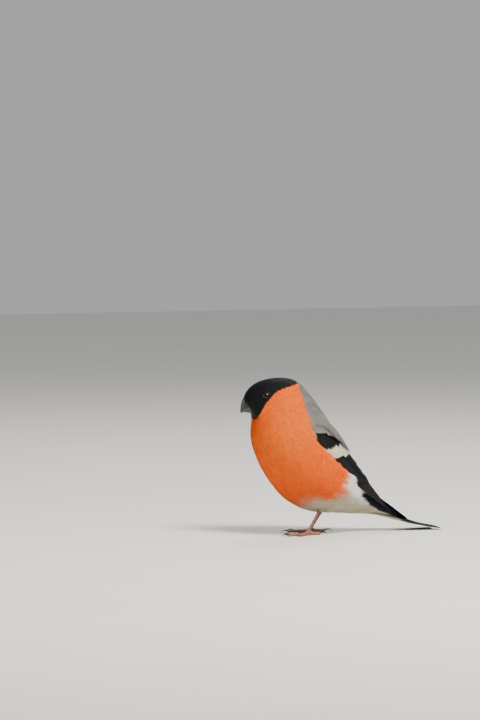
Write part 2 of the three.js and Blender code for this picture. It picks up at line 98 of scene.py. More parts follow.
def head_turned(points, place):
    angle = -head_turn * (1 - ease(np.asarray(place, float), turn_full, turn_none))
    x = points[..., 0] - turn_axis_x
    y = points[..., 1]
    return np.stack([
        turn_axis_x + x * np.cos(angle) - y * np.sin(angle),
        x * np.sin(angle) + y * np.cos(angle),
        points[..., 2],
    ], -1)


def body_point(place, angle):
    place, angle = np.broadcast_arrays(np.asarray(place, float), np.asarray(angle, float))
    rows = along(body_sections, place)
    up = 0.5 + np.sign(np.cos(angle)) * np.abs(np.cos(angle)) ** fullness / 2
    out = np.sign(np.sin(angle)) * np.abs(np.sin(angle)) ** fullness
    flat = np.stack([
        rows[..., 2] + (rows[..., 0] - rows[..., 2]) * up,
        -rows[..., 4] * out,
        rows[..., 3] + (rows[..., 1] - rows[..., 3]) * up,
    ], -1)
    return head_turned(flat, place)


def body_frame(place, angle):
    """Point, outward normal, and the steps in millimetres along and round the bird."""
    step = 0.01
    back = (body_point(place + step, angle) - body_point(place - step, angle)) / (2 * step)
    round_ = (body_point(place, angle + step) - body_point(place, angle - step)) / (2 * step)
    return body_point(place, angle), unit(np.cross(round_, back)), back, round_


def eye_seat(side):
    point, outward, _, _ = body_frame(np.array(eye_place), np.array(side * eye_angle))
    return point - outward * eye_sink, outward


low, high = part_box("eye_left")
shift = np.array((low + high) / 2) / MM - eye_seat(1)[0]


def place_mm(point):
    """A point of the bird's own millimetres as a place in the frame."""
    return Vector((np.asarray(point, float) + shift) * MM)


# Camera: where the photographer stood, level with the bird and a little ahead of its left side,
# through a long lens. The frame shows the bird at its place in a tall picture of 480 by 720.
camera_azimuth, camera_elevation = math.radians(-25), math.radians(3)
camera_distance = 2.6
sensor_width = 36
mm_per_pixel = 0.6
picture_width, picture_height = 480, 720
floor_row, zero_column = 534, 300
bird_middle = np.array([8.0, 0.0, 48.0])

right = np.array([math.cos(camera_azimuth), math.sin(camera_azimuth), 0])
backward = np.array([
    math.sin(camera_azimuth) * math.cos(camera_elevation),
    -math.cos(camera_azimuth) * math.cos(camera_elevation),
    math.sin(camera_elevation),
])
upward = np.cross(backward, right)
aim = (
    right * (picture_width / 2 - zero_column) * mm_per_pixel
    + upward * (floor_row - picture_height / 2) * mm_per_pixel
    + backward * (bird_middle @ backward)
)
camera_data = bpy.data.cameras.new("camera")
camera_data.sensor_fit = "HORIZONTAL"
camera_data.sensor_width = sensor_width
camera_data.lens = sensor_width * camera_distance / (picture_width * mm_per_pixel * MM)
camera_data.clip_start = 0.05
camera = bpy.data.objects.new("camera", camera_data)
camera.matrix_world = Matrix([
    *((float(x), float(y), float(z), 0) for x, y, z in zip(right, upward, backward)),
    (0, 0, 0, 1),
])
camera.location = place_mm(aim) + Vector(backward) * camera_distance
bpy.context.scene.collection.objects.link(camera)
bpy.context.scene.camera = camera


# Shader maths: a value that varies over a surface takes part in ordinary sums, and one method adds
# any other node.
class Varying:
    def __init__(self, finish, socket):
        self.finish, self.socket = finish, socket

    def sum(self, operation, first, second):
        return self.finish.node("ShaderNodeMath", {"operation": operation}, {0: first, 1: second})

    def __add__(self, other):
        return self.sum("ADD", self, other)

    def __radd__(self, other):
        return self.sum("ADD", other, self)

    def __sub__(self, other):
        return self.sum("SUBTRACT", self, other)

    def __rsub__(self, other):
        return self.sum("SUBTRACT", other, self)

    def __mul__(self, other):
        return self.sum("MULTIPLY", self, other)

    def __rmul__(self, other):
        return self.sum("MULTIPLY", other, self)

    def sine(self):
        return self.sum("SINE", self, 0)

    def between(self, low, high):
        return self.finish.node("ShaderNodeMapRange", {"interpolation_type": "SMOOTHSTEP"},
                                {"Value": self, "From Min": low, "From Max": high})


class Finish:
    """A procedural material with one Principled surface."""

    def __init__(self, name, **constants):
        self.material = bpy.data.materials.new(name)
        self.material.use_nodes = True
        self.tree = self.material.node_tree
        self.surface = self.tree.nodes["Principled BSDF"]
        for socket, value in constants.items():
            self.surface.inputs[socket.replace("_", " ")].default_value = value

    def node(self, kind, settings, inputs, output=0):
        made = self.tree.nodes.new(kind)
        for name, value in settings.items():
            setattr(made, name, value)
        for socket, value in inputs.items():
            self.set(made.inputs[socket], value)
        return Varying(self, made.outputs[output])

    def set(self, socket, value):
        if isinstance(value, Varying):
            self.tree.links.new(value.socket, socket)
        else:
            socket.default_value = value

    def feed(self, **values):
        for socket, value in values.items():
            self.set(self.surface.inputs[socket.replace("_", " ")], value)

    def noise(self, size_mm, detail=3.0):
        place = self.node("ShaderNodeTexCoord", {}, {}, "Object")
        return self.node("ShaderNodeTexNoise", {}, {
            "Vector": place, "Scale": 1 / (size_mm * MM), "Detail": detail}, "Fac")

    def attribute(self, name, output="Color"):
        return self.node("ShaderNodeAttribute", {"attribute_name": name}, {}, output)

    def shade(self, colour, factor):
        """A colour made lighter or darker by a varying factor."""
        grey = self.node("ShaderNodeCombineXYZ", {}, {0: factor, 1: factor, 2: factor})
        return self.node("ShaderNodeVectorMath", {"operation": "MULTIPLY"}, {0: colour, 1: grey})

    def mix(self, factor, first, second):
        made = self.tree.nodes.new("ShaderNodeMix")
        made.data_type = "RGBA"
        self.set(made.inputs["Factor"], factor)
        self.set(made.inputs[6], first)
        self.set(made.inputs[7], second)
        return Varying(self, made.outputs[2])

    def bump(self, height, distance_mm, strength=1.0):
        return self.node("ShaderNodeBump", {}, {
            "Height": height, "Distance": distance_mm * MM, "Strength": strength})


# Studio: a plain pale floor under plain soft light, the main light high on the camera's right as the
# sun is in the picture, a wide weak one on the left, one behind the bird, and pale surroundings.
floor_colour = (0.78, 0.77, 0.74, 1)
floor_half = 3.0

bpy.ops.object.select_all(action="DESELECT")
bpy.ops.mesh.primitive_plane_add(size=2 * floor_half, location=(0, 0, 0))
floor = bpy.context.object
floor.name = "floor"
floor_finish = Finish("floor_paint", Roughness=0.9)
floor_finish.feed(Base_Color=floor_finish.mix(
    floor_finish.noise(60).between(0.3, 0.7), floor_colour, (0.8, 0.79, 0.77, 1)))
floor.data.materials.append(floor_finish.material)


def soft_light(name, azimuth, elevation, distance, size, watts, colour):
    a, e = math.radians(azimuth), math.radians(elevation)
    toward = Vector((math.sin(a) * math.cos(e), -math.cos(a) * math.cos(e), math.sin(e)))
    data = bpy.data.lights.new(name, "AREA")
    data.shape, data.size, data.energy, data.color = "DISK", size, watts, colour
    lamp = bpy.data.objects.new(name, data)
    lamp.location = place_mm(bird_middle) + toward * distance
    lamp.rotation_euler = toward.to_track_quat("Z", "Y").to_euler()
    bpy.context.scene.collection.objects.link(lamp)


soft_light("main_light", 10, 55, 1.1, 0.45, 21, (1, 0.93, 0.82))
soft_light("side_light", -85, 22, 1.2, 0.8, 3.2, (0.93, 0.96, 1))
soft_light("back_light", 150, 50, 1.2, 0.6, 6, (1, 0.98, 0.95))
world = bpy.data.worlds.new("pale_room")
world.use_nodes = True
world.node_tree.nodes["Background"].inputs["Color"].default_value = (0.86, 0.87, 0.88, 1)
world.node_tree.nodes["Background"].inputs["Strength"].default_value = 0.5
bpy.context.scene.world = world


# Markings of an adult male: a glossy black cap, mask and chin, an orange-red face, breast and flank,
# an ash-grey back, a white rump, belly and vent, and blue-black coverts over the tail. Each edge is a
# line round the body, read from how far round from the back a feather sits, in degrees.
# The lower breast's deeper orange and the darker cream of the belly and vent are painted shade.
black_cap = np.array([0.0032, 0.0036, 0.005])
orange = np.array([0.95, 0.135, 0.002])
# The next orange is deeper. It is painted shade for the lower breast.
orange_painted_shade = np.array([0.70, 0.075, 0.001])
orange_pale = np.array([0.95, 0.20, 0.012])
ash_grey = np.array([0.205, 0.205, 0.195])
white = np.array([0.86, 0.85, 0.80])
# The underside's creamy white below is darkened as painted shade. The rump and upper flanks take full white.
vent_cream_and_shade = np.array([0.46, 0.42, 0.30])
tail_black = np.array([0.006, 0.008, 0.017])

cap_edge = ([0, 20, 30, 42, 56, 66, 74, 88, 102, 122, 150, 180],
            [6.2, 6.05, 5.85, 5.38, 4.65, 4.27, 4.15, 3.72, 3.5, 3.0, 2.2, 1.75])
mantle_edge = ([5.9, 6.1, 6.3, 6.93, 7.43, 8.08, 8.62, 9.65, 10.8, 11.6, 13.2],
               [0, 22, 36, 50, 61, 70, 76, 76, 66, 60, 52])
breast_edge = ([50, 72, 86, 100, 116, 124, 136, 152, 180],
               [12.6, 12.9, 13.2, 13.1, 12.7, 12.2, 11.5, 11.5, 11.7])
rump_from, rump_to = 12.7, 16.2
tail_edge = ([14.6, 15.8, 17.1, 20], [78, 92, 118, 128])


def blended(first, second, share):
    return first + (second - first) * share[..., None]


def plumage_colour(place, angle, wander):
    """Colour of the coat at a place on the body. Wander, from -1 to 1, roughens the edges."""
    degrees = np.degrees(np.minimum(angle % (2 * np.pi), 2 * np.pi - angle % (2 * np.pi)))
    shape = degrees.shape
    colour = np.broadcast_to(orange, shape + (3,)).copy()
    # Painted shade: the lower breast, most of all underneath, and the breast towards the belly turn a deeper
    # orange.
    shaded_low_breast = ease(place, 8.5, 12) * ease(degrees, 80, 140)
    colour = blended(colour, orange_painted_shade, 0.55 * shaded_low_breast + 0.3 * ease(place, 10, 12.5))
    # A paler orange on the side of the neck and the upper breast.
    paler_neck_side = np.exp(-((place - 7.2) / 1.8) ** 2) * np.exp(-((degrees - 95) / 45) ** 2)
    colour = blended(colour, orange_pale, 0.6 * paler_neck_side)
    soft = wander * 0.16
    below = np.interp(degrees, *breast_edge)
    # The belly and vent take the darker cream, which is painted shade of the underside. Further back, the
    # sides above it turn full white.
    colour = blended(colour, vent_cream_and_shade, ease(place + 1.5 * soft, below - 0.6, below + 0.8))
    colour = blended(colour, white, ease(place, 13.4, 14.6) * ease(degrees, 120, 60))
    upper = np.interp(place, *mantle_edge)
    grey = ease(upper - degrees + 26 * soft, -3.5, 4.5) * ease(place, 5.9, 6.15)
    colour = blended(colour, ash_grey, grey)
    rump = ease(place + 1.6 * soft, rump_from - 0.25, rump_from + 0.3)
    colour = blended(colour, white, rump * ease(degrees, 95, 80))
    dark_from = rump_to - 1.3 * ease(degrees, 50, 78)
    dark = ease(place + soft, dark_from - 0.12, dark_from + 0.15)
    dark = dark * ease(np.interp(place, *tail_edge) - degrees + 12 * soft, -3, 3)
    colour = blended(colour, tail_black, dark)
    cap_to = np.interp(degrees, *cap_edge)
    return blended(colour, black_cap, ease(cap_to - place + 0.5 * soft, -0.06, 0.06))


# Sheets of feathers: a folded wing or the tail is laid out on a curved sheet, and a place on it is
# given by the distance from its root, the distance across and the height above it.
def smooth_route(points, samples=400):
    """The centripetal curve through a few points, sampled evenly along its length."""
    points = np.asarray(points, float)
    padded = np.vstack([2 * points[0] - points[1], points, 2 * points[-1] - points[-2]])
    pieces = []
    for k in range(len(points) - 1):
        a, b, c, d = padded[k:k + 4]
        t0, t1, t2 = (np.sqrt(np.linalg.norm(q - p)) for p, q in ((a, b), (b, c), (c, d)))
        m1 = ((b - a) / t0 - (c - a) / (t0 + t1) + (c - b) / t1) * t1
        m2 = ((c - b) / t1 - (d - b) / (t1 + t2) + (d - c) / t2) * t1
        t = np.linspace(0, 1, 200, endpoint=k == len(points) - 2)[:, None]
        cubic, square = 2 * b - 2 * c + m1 + m2, 3 * c - 3 * b - 2 * m1 - m2
        pieces.append(cubic * t ** 3 + square * t ** 2 + m1 * t + b)
    route = np.vstack(pieces)
    lengths = np.concatenate([[0], np.cumsum(np.linalg.norm(np.diff(route, axis=0), axis=1))])
    even = np.linspace(0, lengths[-1], samples)
    return np.stack([np.interp(even, lengths, route[:, c]) for c in range(3)], 1), lengths[-1]


class FeatherSheet:
    def __init__(self, points, across_root, across_tip, camber, named_length=None):
        self.route, self.length = smooth_route(points)
        self.scale = self.length / named_length if named_length else 1
        self.camber = camber
        tangent = unit(np.gradient(self.route, axis=0))
        share = np.linspace(0, 1, len(self.route))[:, None]
        hint = np.array(across_root) * (1 - share) + np.array(across_tip) * share
        self.side = unit(hint - tangent * (hint * tangent).sum(1, keepdims=True))
        self.tangent, self.up = tangent, np.cross(tangent, self.side)

    def read(self, table, u):
        place = np.clip(u / self.length, 0, 1) * (len(table) - 1)
        return np.stack([np.interp(place, np.arange(len(table)), table[:, c]) for c in range(3)], -1)

    def point(self, u, across, height):
        u, across, height = np.broadcast_arrays(*(np.asarray(v, float) for v in (u, across, height)))
        inside = np.clip(u, 0, self.length)
        turn = across / self.camber
        radius = self.camber + height
        return (
            self.read(self.route, inside)
            + self.read(self.tangent, inside) * (u - inside)[..., None]
            + self.read(self.side, inside) * (radius * np.sin(turn))[..., None]
            + self.read(self.up, inside) * (radius * np.cos(turn) - self.camber)[..., None]
        )

    def normal(self, u, across):
        turn = (np.asarray(across, float) / self.camber)[..., None]
        return self.read(self.side, u) * np.sin(turn) + self.read(self.up, u) * np.cos(turn)


wing_length = 81
wing = FeatherSheet(
    [(-3, -19.8, 70), (14, -18.6, 54.4), (31.6, -11.2, 37.4), (57.4, -6.2, 15.6)],
    (0.52, 0.36, 0.78), (0.34, 0.82, 0.46), 20, wing_length)
wing_low = [-6, -10, -10, -9.4, -7.5, -6.8, -5.9, -5, -3]
wing_high = [5, 8.5, 9.5, 9.5, 9.2, 7.2, 4.4, 2.8, 1]
wing_share = np.linspace(0, 1, len(wing_low))

# Where the wings lie, the skin sinks below them, and the coat at their edges rises over them.
wing_margin, wing_reach = 6, 16
wing_u, wing_b = (grid.ravel() for grid in np.meshgrid(
    np.arange(-wing_margin, wing_length + wing_margin, 1.0), np.arange(-wing_reach, wing_reach + 0.1, 1.0),
    indexing="ij"))
wing_spots = wing.point(wing_u * wing.scale, wing_b, 0)
wing_normals = wing.normal(np.clip(wing_u, 0, wing_length) * wing.scale, wing_b)
wing_tree = kdtree.KDTree(len(wing_spots))
for number, spot in enumerate(wing_spots):
    wing_tree.insert(spot, number)
wing_tree.balance()


def over_wing(points):
    """How far inside the wing's outline each point is, its height over the wing's sheet, the height of
    the wing's feathers there, and how far the body's feathers may lie over it, which is not at all
    behind the scapulars and the vent. Points of the right side are read on the left wing's image."""
    mirrored = points * np.where(points[:, 1:2] > 0, [[1, -1, 1]], [[1, 1, 1]])
    nearest = np.array([wing_tree.find(p)[1] for p in mirrored.tolist()], int)
    u, b = wing_u[nearest], wing_b[nearest]
    normal = wing_normals[nearest]
    height = ((mirrored - wing_spots[nearest]) * normal).sum(1)
    share = np.clip(u / wing_length, 0, 1)
    lower, upper = (np.interp(share, wing_share, edge) for edge in (wing_low, wing_high))
    inside = np.minimum(b - lower, upper - b)
    inside = np.minimum(inside, np.minimum(u + 1, wing_length - 2 - u))
    top = (0.2 + ease(u, -3, 8) * (1.2 + 0.03 * (b + 7))) * (1 - 0.4 * ease(u, 30, 60))
    cover = np.where(b > 0, np.interp(u, [0, 20, 34, 34.1], [4.4, 4.4, 2.0, -10]),
                     np.interp(u, [0, 14, 30, 42, 44, 44.1], [1.8, 1.7, 0.9, 0.5, 0.0, -10]))
    return inside, height, top, cover


# Skin: one closed surface under the whole coat, from the bill's base to the root of the tail. It lies
# inside the solids by the depth of the feathers and carries the same markings.
skin_rows, skin_columns = 300, 144


def coat_depth(place):
    return np.interp(place, [0, 1.5, 4, 7, 10, 19], [0.15, 0.35, 0.6, 0.85, 1.05, 1.0])


def unwrapped(across, up):
    """A place on an unwrap, kept a little off its border."""
    return np.stack([0.02 + 0.96 * across, 0.02 + 0.96 * up], -1)


def coat_uv(place, angle):
    """The unwrap of the skin: along the bird and round it from the back."""
    return unwrapped(place / last_section, angle % (2 * np.pi) / (2 * np.pi))


def closed_faces(rows, columns):
    """Faces of a row of rings, closed by the middles of its two ends, which are the last two points."""
    number = np.arange(rows * columns).reshape(rows, columns)
    a, b = number[:-1], number[1:]
    a2, b2 = np.roll(a, -1, 1), np.roll(b, -1, 1)
    first, last = (np.full(columns, rows * columns + end) for end in (0, 1))
    return np.concatenate([
        np.stack([a, a2, b2], -1).reshape(-1, 3), np.stack([a, b2, b], -1).reshape(-1, 3),
        np.stack([np.roll(number[0], -1), number[0], first], -1),
        np.stack([number[-1], np.roll(number[-1], -1), last], -1)])


def with_ends(points, columns):
    return np.vstack([points, points[:columns].mean(0), points[-columns:].mean(0)])


def mesh_piece(name, points, faces, finish, tint=None, uv=None, normals=None, vane=None):
    """A mesh from arrays of points in millimetres and of three-cornered faces."""
    mesh = bpy.data.meshes.new(name)
    mesh.vertices.add(len(points))
    mesh.vertices.foreach_set("co", ((points + shift) * MM).astype(np.float32).ravel())
    mesh.loops.add(faces.size)
    mesh.loops.foreach_set("vertex_index", faces.astype(np.int32).ravel())
    mesh.polygons.add(len(faces))
    mesh.polygons.foreach_set("loop_start", np.arange(0, faces.size, faces.shape[1], dtype=np.int32))
    mesh.update(calc_edges=True)
    for layer_name, layer in (("OFBake", uv), ("vane", vane)):
        if layer is not None:
            corners = layer if len(layer) == faces.size else layer[faces.ravel()]
            made = mesh.uv_layers.new(name=layer_name)
            made.data.foreach_set("uv", corners.astype(np.float32).ravel())
    if tint is not None:
        colours = np.ones((len(points), 4), np.float32)
        colours[:, :3] = tint
        layer = mesh.color_attributes.new("tint", "FLOAT_COLOR", "POINT")
        layer.data.foreach_set("color", colours.ravel())
    mesh.polygons.foreach_set("use_smooth", np.full(len(faces), True))
    if normals is not None:
        mesh.normals_split_custom_set_from_vertices(unit(normals).astype(np.float32))
    mesh.materials.append(finish.material)
    piece = bpy.data.objects.new(name, mesh)
    bpy.context.scene.collection.objects.link(piece)
    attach(piece, "root")
    return piece


def down(name, roughness, sheen):
    """Soft plumage: the marking's colour with fine streaks, and a faint bloom of barbs."""
    finish = Finish(
        name, Roughness=roughness, Sheen_Weight=sheen, Sheen_Roughness=0.5, Specular_IOR_Level=0.16)
    fine = finish.noise(0.5, 2)
    broad = finish.noise(6, 2)
    finish.feed(Base_Color=finish.shade(finish.attribute("tint"), 0.78 + 0.24 * fine + 0.2 * broad))
    return finish


skin_finish = down("skin", 0.9, 0.0)
skin_finish.feed(Normal=skin_finish.bump(skin_finish.noise(0.6), 0.15))

place_grid, angle_grid = np.meshgrid(
    np.linspace(0.05, last_section - 0.1, skin_rows), np.arange(skin_columns) * 2 * np.pi / skin_columns,
    indexing="ij")
skin_points, skin_normals, _, _ = body_frame(place_grid, angle_grid)
skin_points = skin_points - skin_normals * coat_depth(place_grid)[..., None]
flat_points = skin_points.reshape(-1, 3)
inside, height, _, _ = over_wing(flat_points)
sink = ease(inside, -0.5, 1.5) * np.clip(height + 2.2, 0, 3)
flat_points = flat_points - skin_normals.reshape(-1, 3) * sink[:, None]
skin_points = with_ends(flat_points, skin_columns)
skin_faces = closed_faces(skin_rows, skin_columns)
skin_uv = coat_uv(place_grid, angle_grid).reshape(-1, 2)
skin_uv = np.vstack([skin_uv, skin_uv[[0, -1]]])
corner_uv = skin_uv[skin_faces]
wraps = corner_uv[..., 1].max(1) - corner_uv[..., 1].min(1) > 0.5
corner_uv[wraps, :, 1] += np.where(corner_uv[wraps, :, 1] < 0.5, 0.96, 0)
corner_uv = np.minimum(corner_uv, 0.9999)
# The skin takes the coat's colours, their painted shade included, at four fifths of their brightness.
skin_tint = plumage_colour(place_grid, angle_grid, np.zeros_like(angle_grid)).reshape(-1, 3) * 0.8
skin_tint = np.vstack([skin_tint, skin_tint[[0, -1]]])
skin = mesh_piece("skin", skin_points, skin_faces, skin_finish, skin_tint, corner_uv.reshape(-1, 2))
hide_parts("head", "neck", "torso", "thigh_left", "thigh_right")


# Coat: small body feathers. Each is a fan of narrow strips of barbs from one root, lying along the
# bird and over the next ones like tiles. They are shortest round the bill and longest on the vent.
coat_seed = 7
quick_share = 1.0


def feather_length(place, degrees):
    size = np.interp(place, [0, 1, 2, 3.5, 5, 6.5, 8, 10, 12, 14, 16, 19],
                     [0.9, 1.25, 1.6, 2.1, 2.6, 3.4, 4.3, 5.2, 6.2, 7.2, 7.6, 8.0])
    near_eye = np.hypot((place - eye_place) * 3.2, (degrees - math.degrees(eye_angle)) / 6.5)
    return size * (0.55 + 0.45 * ease(near_eye, 2, 5))


def even_spread(weight, rows, columns, count, offset):
    """Places spread evenly by weight over a grid, with no clumps and no rows."""
    steps = np.arange(count) + offset
    x, y = (0.5 + steps * 0.7548776662) % 1, (0.5 + steps * 0.5698402910) % 1
    by_row = np.concatenate([[0], np.cumsum(weight.sum(1))])
    row = np.interp(x, by_row / by_row[-1], np.arange(len(by_row)))
    line = np.clip(row.astype(int), 0, len(weight) - 1)
    share = np.cumsum(weight, 1)
    share = np.hstack([np.zeros((len(weight), 1)), share]) / np.maximum(share[:, -1:], 1e-12)
    flat = (share + np.arange(len(weight))[:, None]).ravel()
    found = np.searchsorted(flat, line + y, side="right") - 1
    column = found - line * share.shape[1]
    column = np.clip(column, 0, weight.shape[1] - 1)
    start = flat[line * share.shape[1] + column]
    end = flat[line * share.shape[1] + column + 1]
    column = column + (line + y - start) / np.maximum(end - start, 1e-12)
    return np.interp(row, np.arange(len(rows)), rows), np.interp(column, np.arange(len(columns)), columns)


strip_joints, strip_widths = np.array([0, 0.48, 1.0]), np.array([0.6, 1.0, 0.0])
strip_ends = np.array([[0, 0], [0, 1], [0.48, 0], [0.48, 1], [1, 0.5]])
strip_corners = len(strip_ends)


def strip_patches(places, strips, size=0.003):
    """The patch of each feather on the unwrap, shared out among its strips."""
    local = np.stack([np.tile(strip_ends[:, 0], (strips, 1)),
                      (np.arange(strips)[:, None] + strip_ends[:, 1]) / strips], -1)
    return (places[:, None, None, :] + size * (local[None] - 0.5)).reshape(-1, 2)


def fan_corners(draw, point, normal, length, spread, fan):
    """Corners and shading directions of every strip, from the middle line of each."""
    count, strips = point.shape[:2]
    forward = unit(np.gradient(point, axis=2))
    flat_side = unit(np.cross(normal, forward))
    lean = -0.22 * spread[None, :, None, None] + draw.normal(0, 0.10, (count, strips, 1, 1))
    side = flat_side * np.cos(lean) + normal * np.sin(lean)
    width = 2.5 * length[:, None, None, None] * math.sin(fan) / strips * strip_widths[None, None, :, None]
    width = width * draw.uniform(0.8, 1.2, (count, strips, 1, 1)) + 0.04
    pairs = np.stack([point - side * width / 2, point + side * width / 2], 3)[:, :, :2]
    corners = np.concatenate([pairs.reshape(count, strips, 4, 3), point[:, :, -1:]], 2)
    bend = unit(normal - 0.16 * spread[None, :, None, None] * flat_side - 0.08 * forward)
    return corners, np.concatenate([np.repeat(bend[:, :, :2], 2, axis=2), bend[:, :, -1:]], 2)


def fan_faces(strips):
    triangles = np.array([[0, 3, 1], [0, 2, 3], [2, 4, 3]])
    return (np.arange(strips)[:, None, None] * strip_corners + triangles).reshape(-1, 3)


def coat_piece(number, name, slot, finish, places, keep, spacing, strips, fan, lift, looseness):
    """One region of the coat. Keep says where in it feathers grow, spacing is the step between them as a
    share of their length, and fan is how far each spreads, in radians."""
    draw = np.random.default_rng(coat_seed + number)
    rows, columns = np.linspace(*places, 121), np.linspace(0, 2 * np.pi, 181)
    place, angle = np.meshgrid((rows[1:] + rows[:-1]) / 2, (columns[1:] + columns[:-1]) / 2, indexing="ij")
    degrees = np.degrees(np.minimum(angle, 2 * np.pi - angle))
    _, _, back, round_ = body_frame(place, angle)
    area = np.linalg.norm(np.cross(back, round_), axis=-1) * (rows[1] - rows[0]) * (columns[1] - columns[0])
    weight = area / (feather_length(place, degrees) * spacing) ** 2 * keep(place, degrees)
    count = int(weight.sum() * quick_share)
    place, angle = even_spread(weight, rows, columns, count, 31 * number)
    degrees = np.degrees(np.minimum(angle, 2 * np.pi - angle))
    root, _, back, round_ = body_frame(place, angle)
    inside, _, _, cover = over_wing(root)
    shown = (inside < np.maximum(cover, 3.2)) & (draw.random(count) < keep(place, degrees) * 4)
    lies_over = (inside < cover) & ((inside < -1.2) | (draw.random(count) > 0.3))
    place, angle, degrees, lies_over = place[shown], angle[shown], degrees[shown], lies_over[shown]
    back, round_ = np.linalg.norm(back[shown], axis=1), np.linalg.norm(round_[shown], axis=1)
    count = len(place)

    length = feather_length(place, degrees) * draw.uniform(0.85, 1.15, count)
    heading = draw.normal(0, 0.10 + 0.2 * looseness, count)
    spread = np.linspace(-1, 1, strips)
    sway = spread[None, :] * fan + heading[:, None] + draw.normal(0, 0.05 + 0.1 * looseness, (count, strips))
    reach = length[:, None] * (1 - 0.2 * spread[None, :] ** 2) * draw.uniform(0.86, 1.08, (count, strips))
    t = strip_joints[None, None, :]
    ahead = reach[..., None] * t * np.cos(sway[..., None] * t)
    aside = reach[..., None] * t * np.sin(sway[..., None] * (1.15 - 0.35 * t))
    aside = aside + spread[None, :, None] * 0.10 * length[:, None, None]
    s = np.clip(place[:, None, None] + ahead / back[:, None, None], 0, last_section)
    a = angle[:, None, None] + aside / round_[:, None, None]
    point, normal, _, _ = body_frame(s, a)
    depth = coat_depth(s)
    layer = draw.uniform(0.7, 1.12, count)[:, None, None] * draw.uniform(0.9, 1.1, (count, strips, 1))
    rise = -1.25 + (1.25 + lift) * layer * np.sin(np.minimum(t * 1.5, 1) * np.pi / 2)
    rise = rise + looseness * draw.normal(0, 0.35, (count, strips, 1)) * t ** 2
    point = point + normal * (rise * depth)[..., None]

    flat = point.reshape(-1, 3)
    near = ((s > 6.5) & (np.minimum(a % (2 * np.pi), -a % (2 * np.pi)) < 1.95)).ravel()
    if near.any():
        inside, height, top, _ = over_wing(flat[near])
        along_joint = np.broadcast_to(t, s.shape).ravel()[near]
        over = ease(inside, -2.6, 0.6) * np.maximum(top + 0.05 + 0.3 * along_joint - height, 0)
        under = -ease(inside, -1.2, 0.4) * np.maximum(height + 1.9, 0)
        push = np.where(np.broadcast_to(lies_over[:, None, None], s.shape).ravel()[near], over, under)
        flat[near] += normal.reshape(-1, 3)[near] * push[:, None]
        point = flat.reshape(point.shape)

    corners, bend = fan_corners(draw, point, normal, length, spread, fan)

    wander = np.clip(draw.normal(0, 0.6, (count, 1, 1)) + draw.normal(0, 0.35, (count, strips, 1)), -1.6, 1.6)
    tint = plumage_colour(s[:, :, 1:2], a[:, :, 1:2], wander)
    bright = draw.normal(1, 0.035, (count, 1, 1, 1)) * draw.normal(1, 0.055, (count, strips, 1, 1))
    fade = np.array([0.70, 0.70, 0.93, 0.93, 1.05])[None, None, :, None]
    tint = np.clip(tint * bright * fade, 0, 0.95)

    made = mesh_piece(name, corners.reshape(-1, 3), fan_faces(count * strips), finish, tint.reshape(-1, 3),
                      strip_patches(coat_uv(place, angle), strips), bend.reshape(-1, 3))
    return made


cap_finish = down("cap_plumage", 0.6, 0.0)
breast_finish = down("breast_plumage", 0.9, 0.0)
mantle_finish = down("mantle_plumage", 0.8, 0.1)
vent_finish = down("vent_plumage", 0.9, 0.1)


def window(value, low, high):
    return ((value >= low - 0.05) & (value < high + 0.05)).astype(float)


def everywhere(place, degrees):
    return np.ones_like(place)


def within_cap(place, degrees):
    return window(place, 0, np.interp(degrees, *cap_edge) + 0.1)


def behind_cap(place, degrees):
    return window(place, np.interp(degrees, *cap_edge) - 0.1, 9) * window(degrees, 12, 181)


def below_mantle(overlap):
    """The part of a region below the mantle's edge, and a few degrees above it."""
    return lambda place, degrees: window(degrees, np.interp(place, *mantle_edge) - overlap, 181)


def within_mantle(place, degrees):
    return window(degrees, -1, np.interp(place, *mantle_edge) + 1)


cap, breast = ("cap_plumage", cap_finish), ("breast_plumage", breast_finish)
mantle, vent = ("mantle_plumage", mantle_finish), ("vent_plumage", vent_finish)
coat_piece(1, "coat_face", *cap, (0.02, 3.2), everywhere, 0.21, 6, 0.34, 0.2, 0.08)
coat_piece(2, "coat_crown", *cap, (3.2, 6.4), within_cap, 0.17, 7, 0.32, 0.2, 0.06)
coat_piece(3, "coat_throat", *breast, (2.0, 6.4), behind_cap, 0.165, 9, 0.3, 0.3, 0.2)
coat_piece(4, "coat_chest", *breast, (6.4, 8.2), below_mantle(2), 0.15, 11, 0.28, 0.3, 0.22)
coat_piece(5, "coat_breast", *breast, (8.2, 10.2), below_mantle(4), 0.145, 12, 0.28, 0.35, 0.3)
coat_piece(6, "coat_belly", *breast, (10.2, 12.9), below_mantle(4), 0.14, 13, 0.27, 0.4, 0.4)
coat_piece(7, "coat_mantle", *mantle, (6.0, 12.7), within_mantle, 0.155, 11, 0.3, 0.35, 0.22)
coat_piece(8, "coat_vent", *vent, (12.9, 18.2), everywhere, 0.14, 12, 0.26, 0.4, 0.4)


# Wings: each folded wing is a bed of small dark down under tiers of flight feathers and coverts, in
# their real numbers. A feather is a thin vane on a raised shaft, its barbs leaning towards the tip and
# parted here and there. The innermost lie on top.
vane_rows, vane_across = 34, np.array([-1, -0.82, -0.55, -0.25, -0.07, 0, 0.07, 0.25, 0.55, 0.82, 1])
vane_thickness = 0.14


def grid_faces(rows, columns, first=0, flip=False):
    number = first + np.arange(rows * columns).reshape(rows, columns)
    a, b, c, d = number[:-1, :-1], number[:-1, 1:], number[1:, 1:], number[1:, :-1]
    faces = np.concatenate([np.stack([a, b, c], -1).reshape(-1, 3), np.stack([a, c, d], -1).reshape(-1, 3)])
    return faces[:, ::-1] if flip else faces


